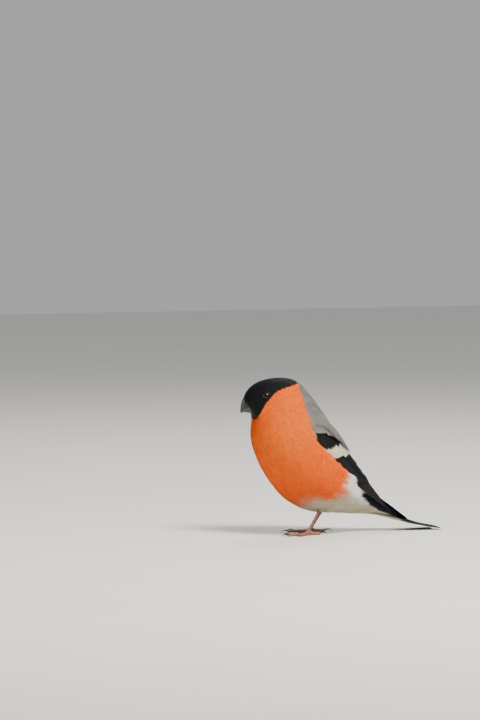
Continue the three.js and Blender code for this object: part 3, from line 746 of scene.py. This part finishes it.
def plate_faces(rows, columns, flip=False):
    """Faces of a thin plate between two grids of points, with its rim."""
    size = rows * columns
    number = np.arange(size).reshape(rows, columns)
    rim = np.concatenate([number[0, :-1], number[:-1, -1], number[-1, :0:-1], number[:0:-1, 0]])
    after = np.roll(rim, -1)
    faces = np.concatenate([
        grid_faces(rows, columns), grid_faces(rows, columns, size, True),
        np.stack([after, rim, rim + size], -1), np.stack([after, rim + size, after + size], -1)])
    return faces[:, ::-1] if flip else faces


def grid_normals(points):
    return unit(np.cross(np.gradient(points, axis=0), np.gradient(points, axis=1)))


def vane(draw, sheet, root, tip, width, tint, point_at=0.8, sharp=0.5, lead=0.5, tilt=0.08, parted=3,
         arch=0.22):
    """One feather from root to tip, each given as distance along, distance across and height. Lead is the
    leading web's share of its width, and it narrows to its point from a share of its length."""
    root, tip = np.array(root, float), np.array(tip, float)
    v = np.linspace(0, 1, vane_rows) ** 0.9
    c = vane_across[None, :]
    wide = np.interp(v, [0, 0.12, 0.4, 1], [0.45, 0.75, 1, 1])
    end = np.clip((v - point_at) / (1 - point_at), 0, 1)
    wide = wide * np.maximum(1 - end ** (2 + 2 * (1 - sharp)), 0.004) ** (0.5 + 0.4 * sharp)
    web = np.where(c < 0, lead, 1 - lead) * width * c * wide[:, None]
    for part in draw.integers(4, vane_rows - 2, parted):
        outer = (np.sign(c) == draw.choice([-1, 1])) & (np.abs(c) > 0.5)
        web[part] = np.where(outer, web[part] * draw.uniform(0.7, 0.9), web[part])
    length = (tip[0] - root[0]) * sheet.scale
    swing = math.atan2(tip[1] - root[1], length)
    forward = np.abs(web) * 0.85 * (1 - end[:, None] ** 2)
    ahead = (v * length)[:, None] * np.ones_like(c) + forward * (1 - v[:, None]) ** 0.3
    u = root[0] * sheet.scale + ahead - web * math.sin(swing)
    across = root[1] + (tip[1] - root[1]) * v[:, None] + web * math.cos(swing)
    height = root[2] + (tip[2] - root[2]) * v[:, None] - tilt * web - arch * (web / width * 2) ** 2
    ridge = 0.13 * (np.abs(c) < 0.01) * np.interp(v, [0, 0.9, 1], [1, 0.35, 0])[:, None]
    thick = vane_thickness * (1 - 0.6 * np.abs(c))
    top = sheet.point(u, across, height + ridge)
    under = sheet.point(u, across, height - thick - 0.5 * ridge)
    colour = tint(v[:, None] + 0 * c, c + 0 * v[:, None], length)
    normal = grid_normals(top)
    stripes = np.stack([ahead / 100, np.broadcast_to(0.5 + c / 2, ahead.shape)], -1)
    return top, under, colour, normal, stripes


def vane_object(name, vanes, finish, mirror=False):
    """All the feathers of one wing or tail as one mesh."""
    points, tints, normals, stripes, patches, faces = [], [], [], [], [], []
    cells = math.ceil(math.sqrt(len(vanes)))
    start = 0
    for number, (top, under, colour, normal, stripe) in enumerate(vanes):
        rows, columns = top.shape[:2]
        both = np.concatenate([top, under]).reshape(-1, 3)
        direction = np.concatenate([normal, -normal]).reshape(-1, 3)
        if mirror:
            both, direction = both * [1, -1, 1], direction * [1, -1, 1]
        points.append(both)
        normals.append(direction)
        tints.append(np.concatenate([colour, colour]).reshape(-1, 3))
        stripes.append(np.concatenate([stripe, stripe]).reshape(-1, 2))
        share = np.stack(np.meshgrid(np.linspace(0, 1, rows), np.linspace(0, 1, columns), indexing="ij"), -1)
        cell = np.array([number % cells, number // cells]) + 0.04
        face = share * [0.92, 0.45]
        patches.append(np.concatenate([cell + face, cell + [0, 0.47] + face]).reshape(-1, 2) / cells)
        faces.append(start + plate_faces(rows, columns, not mirror))
        start += len(both)
    return mesh_piece(name, np.concatenate(points), np.concatenate(faces), finish, np.concatenate(tints),
                      np.concatenate(patches), np.concatenate(normals), vane=np.concatenate(stripes))


def plain_tint(colour, edge=None, edge_width=0.22):
    """A vane's colour, with an outer edge of another one."""
    colour = np.array(colour)
    def tint(v, c, length):
        base = np.broadcast_to(colour, v.shape + (3,))
        if edge is None:
            return base
        return blended(base, np.array(edge), ease(-c, 1 - edge_width, 1) * 0.7)
    return tint


def tipped_tint(colour, tip_colour, tip_length):
    def tint(v, c, length):
        back = (1 - v) * length - 0.9 * np.abs(c) + 0.25 * np.sin(v * 90 + c * 40)
        return blended(np.broadcast_to(np.array(colour), v.shape + (3,)), np.array(tip_colour),
                       ease(back, tip_length + 0.45, tip_length - 0.45))
    return tint


def tier(draw, sheet, count, first, last, width, tint_at, bow=0.0, **shape):
    """A row of feathers between a first and a last one, bowed towards the shoulder between them. The tint
    depends on the share of the way along the row."""
    made = []
    for k in range(count):
        share = k / max(count - 1, 1)
        root, tip = (np.array(first[e]) * (1 - share) + np.array(last[e]) * share for e in (0, 1))
        root, tip = (end - [bow * math.sin(math.pi * share), 0, 0] for end in (root, tip))
        tip = tip + [draw.normal(0, 0.35), draw.normal(0, 0.12), draw.normal(0, 0.03)]
        made.append(vane(draw, sheet, root, tip, width, tint_at(share), **shape))
    return made


glossy_black = (0.0035, 0.0038, 0.005)
primary_brown = (0.009, 0.008, 0.0078)
bar_grey = (0.54, 0.515, 0.42)
covert_grey = (0.165, 0.163, 0.153)


def every(tint):
    return lambda share: tint


def barred(share):
    """Greater coverts: black with a pale tip, longer towards the body, that makes the wing bar."""
    return tipped_tint(glossy_black, bar_grey, 7.6 + 4.5 * share ** 2)


# Tiers of a wing from the lowest up: the number of feathers, the root and tip of the lowest and of the
# uppermost one, the width, the tint and the form. Each place is along the wing, across it and above it.
black = every(plain_tint(glossy_black))
edged_black = every(plain_tint(glossy_black, (0.03, 0.032, 0.05)))
edged_brown = every(plain_tint(primary_brown, (0.055, 0.05, 0.045), 0.16))
grey = every(tipped_tint((0.16, 0.155, 0.145), covert_grey, 7))
wing_tiers = [
    (9, ([28, -7, -1.55], [81, -2.3, -1.2]), ([34, -2.6, -0.7], [61.5, 2, 0.25]), 4.8, edged_brown,
     dict(lead=0.4, sharp=0.8, point_at=0.76, tilt=0.05, arch=0.15)),
    (6, ([24, -6, -0.5], [55.5, -1.9, 0.2]), ([24, 1, 0.35], [60, 2.6, 0.75]), 5, edged_black,
     dict(lead=0.4, sharp=0.3, point_at=0.84)),
    (3, ([26, 3.2, 0.65], [58, 3, 1.1]), ([24, 6.4, 0.9], [48, 6.4, 1.4]), 6.2, black,
     dict(lead=0.42, sharp=0.2, point_at=0.8, arch=0.3)),
    (7, ([12, -8, -0.6], [37, -7.2, -0.2]), ([13, -6, 0], [30, -5.8, 0.25]), 3.2, black,
     dict(lead=0.4, sharp=0.5, point_at=0.75)),
    (3, ([4, -8.4, -0.4], [22, -8.6, 0]), ([4, -7.2, 0], [18, -7.6, 0.4]), 3, black,
     dict(lead=0.4, sharp=0.5, point_at=0.7)),
    (11, ([6, -6.6, 0], [25.5, -7.4, 0.75]), ([21, 7, 0.6], [38.6, 7, 1.45]), 4.2, barred,
     dict(lead=0.45, sharp=0.1, point_at=0.82, tilt=0.1)),
    (10, ([0.5, -4.8, -0.1], [5, -6.4, 0.95]), ([12, 6.8, 0.9], [25.5, 6.8, 1.75]), 4, grey,
     dict(bow=3.0, sharp=0.0, point_at=0.7, tilt=0.1)),
    (8, ([0.5, -3.4, -0.2], [3.4, -4.2, 1]), ([3, 6, 0.7], [16.5, 6.4, 1.9]), 3.8, grey,
     dict(bow=1.5, sharp=0.0, point_at=0.65, tilt=0.1)),
]


def wing_bed():
    """The small dark down that the feathers lie on, as one flat pad."""
    bed_share = np.array([0, 0.06, 0.16, 0.3, 0.45, 0.58, 0.66])
    share = np.interp(np.linspace(0, 6, vane_rows), np.arange(7), bed_share)[:, None]
    c = (vane_across[None, :] + 1) / 2
    low, high = (np.interp(share, wing_share, edge) for edge in (wing_low, wing_high))
    swell = np.sin(np.pi * np.clip(c, 0.05, 0.95)) * np.interp(
        share, [0, 0.06, 0.16, 0.3, 0.45, 0.6], [-0.8, 0.8, 1.3, 0.8, 0.3, -0.2])
    across = low + 1.2 + (high - low - 2.4) * c
    u = share * wing.length + 0.4 + 0 * c
    top, under = wing.point(u, across, swell - 0.9), wing.point(u, across, -2.0 + 0 * swell)
    colour = np.broadcast_to(np.array(glossy_black), top.shape)
    return top, under, colour, grid_normals(top), np.stack([u / 100, c + 0 * u], -1)


def wing_vanes(seed):
    draw = np.random.default_rng(seed)
    vanes = [wing_bed()]
    for count, first, last, width, tint_at, shape in wing_tiers:
        vanes += tier(draw, wing, count, first, last, width, tint_at, **shape)
    return vanes


def flight_finish(name, roughness):
    """Firm feathers: fine barbs across each web, and a soft gloss."""
    finish = Finish(name, Roughness=roughness, Specular_IOR_Level=0.16)
    split = finish.tree.nodes.new("ShaderNodeSeparateXYZ")
    finish.tree.links.new(finish.node("ShaderNodeUVMap", {"uv_map": "vane"}, {}).socket, split.inputs[0])
    barbs = (Varying(finish, split.outputs[0]) * (100 * 2 * math.pi / 0.34)).sine()
    patchy = finish.noise(1.6, 3)
    finish.feed(
        Base_Color=finish.shade(finish.attribute("tint"), 0.82 + 0.08 * barbs + 0.36 * patchy),
        Roughness=roughness - 0.08 + 0.16 * patchy,
        Normal=finish.bump(barbs, 0.03, 0.6))
    return finish


wing_finish = flight_finish("wing_feathers", 0.42)
for side, mirror in (("left", False), ("right", True)):
    wing_piece = vane_object(f"wing_feathers_{side}", wing_vanes(11 + mirror), wing_finish, mirror)
    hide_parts(f"wing_{side}")


# Tail: twelve long feathers fanned a little, the middle pair on top, their tips laid on the floor, with
# blue-black coverts over their roots and long soft white ones below.
tail = FeatherSheet([(34, 0, 21.6), (56, 0, 12.2), (76, 0, 4.4), (92, 0, 1.15)], (0, 1, 0), (0, 1, 0), 120)
tail_length = 58
tail_draw = np.random.default_rng(23)
tail_vanes = []
tail_tint = plain_tint(tail_black, (0.03, 0.035, 0.06))
for pair in range(6):
    for side in (-1, 1):
        lift = 0.9 - 0.34 * pair + (0.3 if side > 0 and pair == 0 else 0)
        root = (tail.length - tail_length, side * (0.6 + 0.45 * pair), lift - 0.3)
        tip = (tail.length - 2 + 0.4 * pair, side * (1.7 + 1.2 * pair), 0.42 * lift + 0.1)
        tail_vanes.append(vane(
            tail_draw, tail, root, tip, 6.6, tail_tint, lead=0.5 + 0.13 * side * min(pair, 2) / 2,
            sharp=0.35, point_at=0.9, tilt=0.03 * side, arch=0.12, parted=5))
for row in range(5):
    for k in range(7):
        across = 2 * (k + 0.5 * (row % 2)) / 6.5 - 1
        out = abs(across)
        reach = 41 - 3.4 * row - 4 * out + tail_draw.normal(0, 0.6)
        tail_vanes.append(vane(
            tail_draw, tail, (13, across * 4.2, 7 - 0.5 * out - 0.1 * row),
            (reach, across * 5, 1 - 0.4 * out + 0.34 * row), 5.2,
            plain_tint(tail_black), sharp=0.2, point_at=0.72, tilt=0.12 * across, arch=0.3))
        # The under coverts take the underside's darker cream, painted shade.
        reach = 38 - 3.2 * row - 3 * out + tail_draw.normal(0, 0.6)
        tail_vanes.append(vane(
            tail_draw, tail, (12, across * 3.4, -5.5 + 0.3 * out),
            (reach, across * 3.8, -1.7 + 0.3 * out - 0.26 * row), 4.4,
            plain_tint(vent_cream_and_shade), sharp=0.2, point_at=0.6, tilt=-0.12 * across, arch=-0.3))
tail_piece = vane_object("tail_feathers", tail_vanes, flight_finish("tail_feathers", 0.5))
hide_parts("tail")


# Thighs: the drumsticks are buried in the belly's down, which parts round each leg in short pale
# feathers that point down the leg.
legs = {
    "left": {"ankle": (8.8, -9.6, 15.6), "toes": (0, -10.4, 1.9), "heading": 188},
    "right": {"ankle": (21, 9.2, 15.2), "toes": (12, 10.2, 1.9), "heading": 172},
}
thigh_shares = [0, 0.3, 0.6, 0.85, 1.05, 1.16]
thigh_radii = [6.4, 6.0, 4.8, 3.2, 1.9, 1.0]


def limb_point(centres, radii, share, angle, flatten=1.0):
    """A point on a round limb, with the directions outwards and along it."""
    centres = np.asarray(centres, float)
    tangent = unit(np.gradient(centres, axis=0))
    hint = np.where(np.abs(tangent[:, 2:3]) > 0.9, [[0, 1, 0]], [[0, 0, 1]])
    side = np.cross(hint, tangent)
    for k in range(1, len(side)):
        side[k] = side[k - 1] - tangent[k] * (side[k - 1] @ tangent[k])
    side = unit(side - tangent * (side * tangent).sum(1, keepdims=True))
    over = np.cross(tangent, side)
    place = np.clip(share, 0, 1) * (len(centres) - 1)
    step = np.arange(len(centres))

    def read(table):
        return np.stack([np.interp(place, step, table[:, c]) for c in range(3)], -1)

    radius = np.interp(place, step, radii)[..., None]
    cos, sin = np.cos(angle)[..., None], np.sin(angle)[..., None]
    outward = read(side) * cos + read(over) * sin * flatten
    return read(centres) + outward * radius, unit(outward), unit(read(tangent))


def thigh_axis(leg):
    ankle = np.array(leg["ankle"], float)
    top = ankle + [5.5, -np.sign(ankle[1]) * 1.2, 9]
    return [top + (ankle - top) * share for share in thigh_shares]


thigh_corners, thigh_bends, thigh_tints, thigh_uvs = [], [], [], []
for name, leg in legs.items():
    draw = np.random.default_rng(41 if name == "left" else 42)
    count, strips = int(900 * quick_share), 6
    share, angle = draw.uniform(0.1, 0.8, count), draw.uniform(0, 2 * np.pi, count)
    length = np.interp(share, [0, 0.8], [4.6, 3.0]) * draw.uniform(0.75, 1.25, count)
    spread, span = np.linspace(-1, 1, strips), 15.0
    t = strip_joints[None, None, :]
    on = share[:, None, None] + length[:, None, None] * t / span * (1 - 0.2 * spread[None, :, None] ** 2)
    radius = np.interp(np.clip(on, 0, 1) * 5, np.arange(6), thigh_radii)
    turn = angle[:, None, None] + (0.5 * spread[None, :, None] * t + 0.12 * spread[None, :, None]) * (
        length[:, None, None] * 0.45 / np.maximum(radius, 1.2))
    point, normal, tangent = limb_point(thigh_axis(leg), thigh_radii, on, turn)
    point = point + tangent * (np.maximum(on - 1, 0) * span)[..., None] * 0.4
    point = point + normal * (draw.uniform(-0.1, 0.7, (count, strips, 1)) * t - 0.35)[..., None]
    corners, bend = fan_corners(draw, point, normal, length, spread, 0.3)
    # The thigh feathers take the underside's darker cream, painted shade, some with a little pale orange.
    tint = blended(np.broadcast_to(vent_cream_and_shade, (count, 1, 1, 3)), orange_pale,
                   0.12 * draw.random((count, 1, 1)) * (share < 0.45)[:, None, None])
    tint = tint * draw.normal(1, 0.06, (count, strips, 1, 1)) * np.array([0.75, 0.75, 0.95, 0.95, 1])[:, None]
    thigh_corners.append(corners.reshape(-1, 3))
    thigh_bends.append(bend.reshape(-1, 3))
    thigh_tints.append(np.clip(tint, 0, 0.95).reshape(-1, 3))
    patch = unwrapped(0.47 * share + (0.52 if name == "right" else 0), angle / (2 * np.pi))
    thigh_uvs.append(strip_patches(patch, strips))
thigh_points = np.concatenate(thigh_corners)
thigh_coat = mesh_piece(
    "coat_thighs", thigh_points, fan_faces(len(thigh_points) // strip_corners), vent_finish,
    np.concatenate(thigh_tints), np.concatenate(thigh_uvs), np.concatenate(thigh_bends))


# Legs and feet: thin bare shanks in overlapping scutes, three toes ahead and one behind with pads under
# their joints, each lying on the floor on small flats, and a curved claw on every toe.
tarsus_radius, toe_root, floor_sink = 0.75, 1.15, 0.12
joint_radius, joint_height = 1.35, 1.3
# Each toe: turn from the foot's heading, length without the claw, length of the claw, thickness.
toe_table = [(-28, 10.5, 4.2, 0.95), (0, 14, 4.6, 1), (30, 10.5, 4.2, 0.95), (180, 8.5, 5.8, 1.05)]
# The curve of a claw: share of its length, height and thickness as shares of the toe's thickness.
claw_hook = [(-0.12, 0.95, 0.5), (0.1, 1.15, 0.56), (0.3, 1.36, 0.52), (0.5, 1.45, 0.44),
             (0.68, 1.36, 0.34), (0.84, 1.0, 0.22), (0.95, 0.62, 0.12), (1.0, 0.36, 0.04)]
leg_finish = Finish("leg_scales", Roughness=0.48, Specular_IOR_Level=0.45)
leg_mottle = leg_finish.noise(0.9, 3)
# The scales' colour is multiplied by the tint attribute, which carries the painted shade of the scutes.
leg_finish.feed(
    Base_Color=leg_finish.shade(
        leg_finish.mix(leg_mottle.between(0.3, 0.75), (0.205, 0.085, 0.058, 1), (0.29, 0.13, 0.09, 1)),
        leg_finish.attribute("tint", "Fac")),
    Roughness=0.4 + 0.2 * leg_mottle,
    Normal=leg_finish.bump(leg_finish.noise(0.25, 2), 0.03, 0.5))
claw_finish = Finish("claw_horn", Roughness=0.35, Specular_IOR_Level=0.5)
claw_finish.feed(Base_Color=claw_finish.mix(
    claw_finish.noise(1.2), (0.018, 0.013, 0.011, 1), (0.06, 0.04, 0.032, 1)))


def tube(centres, radii, rows, columns, scutes=0, step=0.0, flatten=1.0):
    """A closed limb. Scutes are low steps along it, each overlapping the next like a roof tile, with painted
    shade at the foot of each.
    """
    share, angle = np.meshgrid(
        np.linspace(0, 1, rows), np.arange(columns) * 2 * np.pi / columns, indexing="ij")
    points, outward, _ = limb_point(centres, radii, share, angle, flatten)
    tone = np.ones(share.shape)
    if scutes:
        tile = (share * scutes + 0.12 * np.cos(angle)) % 1
        points = points + outward * (step * (tile - 0.5))[..., None]
        # Painted shade: each scute is darkest at its foot, under the edge of the one before, and darkens a
        # little towards its own edge.
        tone = 0.5 + 0.6 * ease(tile, 0, 0.22) * (1 - 0.35 * ease(tile, 0.8, 1))
    points = points.reshape(-1, 3)
    points[:, 2] = np.maximum(points[:, 2], 0)
    return with_ends(points, columns), closed_faces(rows, columns), np.append(tone.ravel(), [1, 1])


def joined(name, parts, finish):
    """One mesh of several parts, each with its points, its faces and the brightness at each point."""
    points, faces, tones, start = [], [], [], 0
    for part_points, part_faces, part_tones in parts:
        points.append(part_points)
        faces.append(part_faces + start)
        tones.append(part_tones)
        start += len(part_points)
    tint = np.concatenate(tones)[:, None]
    return mesh_piece(name, np.concatenate(points), np.concatenate(faces), finish, tint)


for name, leg in legs.items():
    ankle, toes = np.array(leg["ankle"], float), np.array(leg["toes"], float)
    bone = toes - ankle
    shin_shares = np.array([-0.16, -0.06, 0.02, 0.12, 0.4, 0.75, 0.9, 1.0])
    shin_radii = [0.9, 1.3, 1.3, 0.95, tarsus_radius, 0.82, 0.98, 1.2]
    shin = tube([ankle + bone * share for share in shin_shares], shin_radii, 110, 20, 11, 0.15, 0.85)
    leg_piece = joined(f"shank_{name}", [shin], leg_finish)
    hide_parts(f"leg_{name}")
    toe_parts, claw_parts = [], []
    for turn, length, claw, radius in toe_table:
        heading = math.radians(leg["heading"] + turn)
        forward = np.array([math.cos(heading), math.sin(heading), 0])
        rest = radius - floor_sink
        knuckles = round(length / 3.6)
        centres = [toes.copy(), np.array([*toes[:2], rest + 0.35]) + forward * 1.6]
        radii = [toe_root * 0.9, radius * 1.02]
        for k in range(1, knuckles + 1):
            share = k / knuckles
            thin = 1 - 0.24 * share
            for reach, size in ((length * (share - 0.5 / knuckles) + 0.8, 0.86), (length * share, 1.0)):
                centres.append(np.array([*toes[:2], rest * thin]) + forward * reach)
                radii.append(radius * thin * size)
        toe_parts.append(tube(centres + [centres[-1] + forward * 0.5], radii + [radius * 0.4], 110, 16,
                              knuckles * 4, 0.15))
        hook_centres = [np.array([*toes[:2], height * radius]) + forward * (length + claw * share)
                        for share, height, _ in claw_hook]
        hook_radii = [size * radius for _, _, size in claw_hook]
        claw_parts.append(tube(hook_centres, hook_radii, 36, 12, flatten=0.8))
    knob_angle = np.linspace(0, np.pi, 9)[1:-1]
    knob = [toes - [0, 0, joint_height * math.cos(a)] for a in knob_angle]
    toe_parts.append(tube(knob, [joint_radius * math.sin(a) for a in knob_angle], 24, 20))
    foot_piece = joined(f"toes_{name}", toe_parts, leg_finish)
    claw_piece = joined(f"claws_{name}", claw_parts, claw_finish)
    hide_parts(f"foot_{name}")


# Bill: two short, deep, swollen halves of black horn that meet along a bent mouth line, with a sharp
# cutting edge, a slight hook at the tip and a round nostril high on each side, half under bristles.
bill_tip = np.array([-37.5, 0, 73.4])
bill_pitch = math.radians(20.6)
bill_axis = np.array([math.cos(bill_pitch), 0, math.sin(bill_pitch)])
bill_up = np.array([-math.sin(bill_pitch), 0, math.cos(bill_pitch)])
bill_length, upper_depth, lower_depth, bill_half_width, mouth_gap = 11.5, 6.3, 2.9, 4.0, 0.12
nostril_back, nostril_height, nostril_out = 4.9, 6.0, 2.6
nostril_depth, nostril_spread = 0.55, 0.38
horn_finish = Finish("bill_horn", Roughness=0.36, Specular_IOR_Level=0.75)
horn_grain = horn_finish.noise(1.1, 4)
horn_finish.feed(
    Base_Color=horn_finish.shade(
        horn_finish.mix(horn_grain.between(0.3, 0.75), (0.008, 0.008, 0.008, 1), (0.024, 0.0235, 0.023, 1)),
        horn_finish.attribute("tint", "Fac")),
    Roughness=0.26 + 0.16 * horn_grain, Normal=horn_finish.bump(horn_grain, 0.06, 0.5))


def swelling(back, start, reach, size, power):
    """How deep or wide the bill is at a distance back from its tip."""
    return 0.25 + size * np.clip((back - start) / reach, 0, 1) ** power


def bill_half(start, depth, width, sign):
    """One half from its start near the tip, its depth and width each as the numbers of a swelling."""
    rows, columns = 60, 48
    back, angle = np.meshgrid(start + (bill_length - start) * np.linspace(0, 1, rows) ** 1.6,
                              np.arange(columns) * 2 * np.pi / columns, indexing="ij")
    bend = ease(back, 0, 2.6) - 0.9 * ease(back, 4, bill_length)
    high = np.maximum(np.sin(angle), 0)
    rise = high * swelling(back, *depth) - np.maximum(-np.sin(angle), 0) * 0.3 * np.minimum(back, 1)
    keel = 1 + 0.05 * np.exp(-((angle - np.pi / 2) / 0.16) ** 2)
    across = np.cos(angle) * swelling(back, *width) * (1 - 0.10 * high * (1 - high) * 4)
    lift = sign * (rise * keel + mouth_gap / 2) + bend
    flat = bill_tip + bill_axis * back[..., None] + bill_up * lift[..., None]
    if sign > 0:
        seat = bill_tip + bill_axis * nostril_back + bill_up * nostril_height
        for side in (-1, 1):
            toward = flat + [0, 1, 0] * across[..., None] - (seat + np.array([0, side * nostril_out, 0]))
            near = np.exp(-((toward ** 2).sum(-1)) / nostril_spread)
            flat = flat - bill_up * (nostril_depth * near)[..., None]
    points = head_turned(flat + np.array([0, 1, 0]) * across[..., None], 0).reshape(-1, 3)
    points, faces = with_ends(points, columns), closed_faces(rows, columns)
    volume = (points[faces[:, 0]] * np.cross(points[faces[:, 1]], points[faces[:, 2]])).sum()
    # Paler towards the mouth line, along the cutting edges.
    paler_mouth_edge = 1 + 1.3 * np.exp(-(high * swelling(back, *depth) / 0.35) ** 2)
    return points, faces if volume > 0 else faces[:, ::-1], np.append(paler_mouth_edge.ravel(), [1, 1])


lower_start = 0.7
upper_half = bill_half(0, (0, 4.8, upper_depth, 0.8), (0, 8.5, bill_half_width, 0.62), 1)
lower_half = bill_half(
    lower_start, (lower_start, 5.5, lower_depth, 0.85), (lower_start, 7.5, bill_half_width - 0.4, 0.62), -1)
upper_bill = joined("bill_upper_horn", [upper_half], horn_finish)
lower_bill = joined("bill_lower_horn", [lower_half], horn_finish)
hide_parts("bill_upper")
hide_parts("bill_lower")


# Eyes: round glass-like globes, dark brown with a black pupil, under a thin dark lid that rings each one
# and carries the smallest feathers of the head right up to it.
lid_radius, lid_thickness = 1.95, 0.17
eye_finish = Finish("eye", Roughness=0.04, Specular_IOR_Level=0.36)
lid_finish = Finish("eyelid", Roughness=0.6, Specular_IOR_Level=0.25)
lid_finish.feed(
    Base_Color=lid_finish.mix(
        lid_finish.noise(0.4), (0.003, 0.003, 0.0035, 1), (0.007, 0.0065, 0.0065, 1)),
    Normal=lid_finish.bump(lid_finish.noise(0.3), 0.05))
for name, side in (("left", 1), ("right", -1)):
    seat, outward = eye_seat(side)
    turn = Vector(outward).to_track_quat("Z", "Y")
    bpy.ops.object.select_all(action="DESELECT")
    bpy.ops.mesh.primitive_uv_sphere_add(segments=64, ring_count=40, radius=eye_radius * MM)
    globe = bpy.context.object
    globe.name = f"eyeball_{name}"
    globe.data.transform(Matrix.Translation(place_mm(seat)) @ turn.to_matrix().to_4x4())
    bpy.ops.object.shade_smooth()
    tone = globe.data.attributes.new("pupil", "FLOAT", "POINT")
    spots = np.array([vertex.co for vertex in globe.data.vertices]) / MM - shift - seat
    tone.data.foreach_set("value", (spots @ outward / eye_radius).astype(np.float32))
    globe.data.materials.append(eye_finish.material)
    bpy.ops.mesh.primitive_torus_add(major_segments=72, minor_segments=14, major_radius=lid_radius * MM,
                                     minor_radius=lid_thickness * MM)
    lid = bpy.context.object
    lid.name = f"eyelid_{name}"
    lid.data.transform(Matrix.Diagonal((1.1, 0.9, 1.1, 1)))
    ring_seat = seat + outward * (math.sqrt(eye_radius ** 2 - lid_radius ** 2) + 0.05)
    lid.data.transform(Matrix.Translation(place_mm(ring_seat)) @ turn.to_matrix().to_4x4())
    bpy.ops.object.shade_smooth()
    lid.data.materials.append(lid_finish.material)
    for piece in (globe, lid):
        piece.location = (0, 0, 0)
        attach(piece, "root")
    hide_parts(f"eye_{name}")
pupil = eye_finish.attribute("pupil", "Fac").between(0.66, 0.74)
eye_finish.feed(Base_Color=eye_finish.mix(pupil, (0.016, 0.007, 0.004, 1), (0.002, 0.002, 0.002, 1)))


# Bristles and eye rings: short stiff black feathers that lean forward over the nostrils and the bill's
# base, and a ring of the smallest feathers round each eye, over the rim of the lid.
def small_strips(draw, start, heading, normal, length, width, tint):
    """Single narrow feathers from points, each with its own direction."""
    steps = np.array([0, 0.5, 1.0])[None, :, None]
    along_strip = heading[:, None] * (length[:, None, None] * steps)
    rise = (normal * (length[:, None] * 0.16))[:, None] * np.sin(steps * 2.2)
    middle = start[:, None] + along_strip + rise
    half_width = width[:, None, None] * np.array([0.7, 1.0, 0])[None, :, None] / 2
    side = unit(np.cross(normal, heading))[:, None] * half_width
    edges = np.stack([middle - side, middle + side], 2)[:, :2].reshape(-1, 4, 3)
    corners = np.concatenate([edges, middle[:, 2:]], 1)
    shade = tint * draw.normal(1, 0.12, (len(start), 1, 1))
    return corners, np.broadcast_to(normal[:, None], corners.shape), np.broadcast_to(shade, corners.shape)


draw = np.random.default_rng(61)
pieces, small_uv = [], []
count = int(1300 * quick_share)
bristle_place = draw.uniform(0.1, 1.5, count)
bristle_angle = np.radians(draw.uniform(12, 172, count)) * draw.choice([-1, 1], count)
start, normal, back, round_ = body_frame(bristle_place, bristle_angle)
heading = unit(-unit(back) + 0.35 * unit(round_) * np.sign(bristle_angle)[:, None]
               + draw.normal(0, 0.12, (count, 3)) - 0.12 * normal)
pieces.append(small_strips(draw, start - normal * 0.1, heading, normal, draw.uniform(1.2, 2.4, count),
                           draw.uniform(0.10, 0.17, count), black_cap * 0.8))
small_uv.append(coat_uv(bristle_place, bristle_angle))
for side in (1, -1):
    seat, outward = eye_seat(side)
    _, _, back, _ = body_frame(np.array(eye_place), np.array(side * eye_angle))
    level = unit(back - outward * (back @ outward))
    over = np.cross(outward, level)
    count = int(420 * quick_share)
    angle = draw.uniform(0, 2 * np.pi, count)
    radial = (level * np.cos(angle)[:, None] * 1.08 + over * np.sin(angle)[:, None] * 0.94)
    reach = lid_radius + draw.uniform(0.02, 0.5, count)
    start = seat + outward * (math.sqrt(eye_radius ** 2 - lid_radius ** 2) + 0.12) + radial * reach[:, None]
    start = start - outward * ((reach - lid_radius) * 0.55)[:, None]
    heading = unit(radial + 0.5 * level - 0.42 * outward + draw.normal(0, 0.1, (count, 3)))
    pieces.append(small_strips(
        draw, start, heading, unit(outward + 0.5 * radial), draw.uniform(0.6, 1.0, count),
        draw.uniform(0.10, 0.16, count), black_cap * 0.6))
    spot = coat_uv(np.array(eye_place), np.array(side * eye_angle))
    small_uv.append(spot + 0.012 * np.stack([np.cos(angle), np.sin(angle)], -1))
corners, normals, tints = (np.concatenate(part) for part in zip(*pieces))
bristles = mesh_piece(
    "coat_bristles", corners.reshape(-1, 3), fan_faces(len(corners)), cap_finish, tints.reshape(-1, 3),
    strip_patches(np.concatenate(small_uv), 1), normals.reshape(-1, 3))
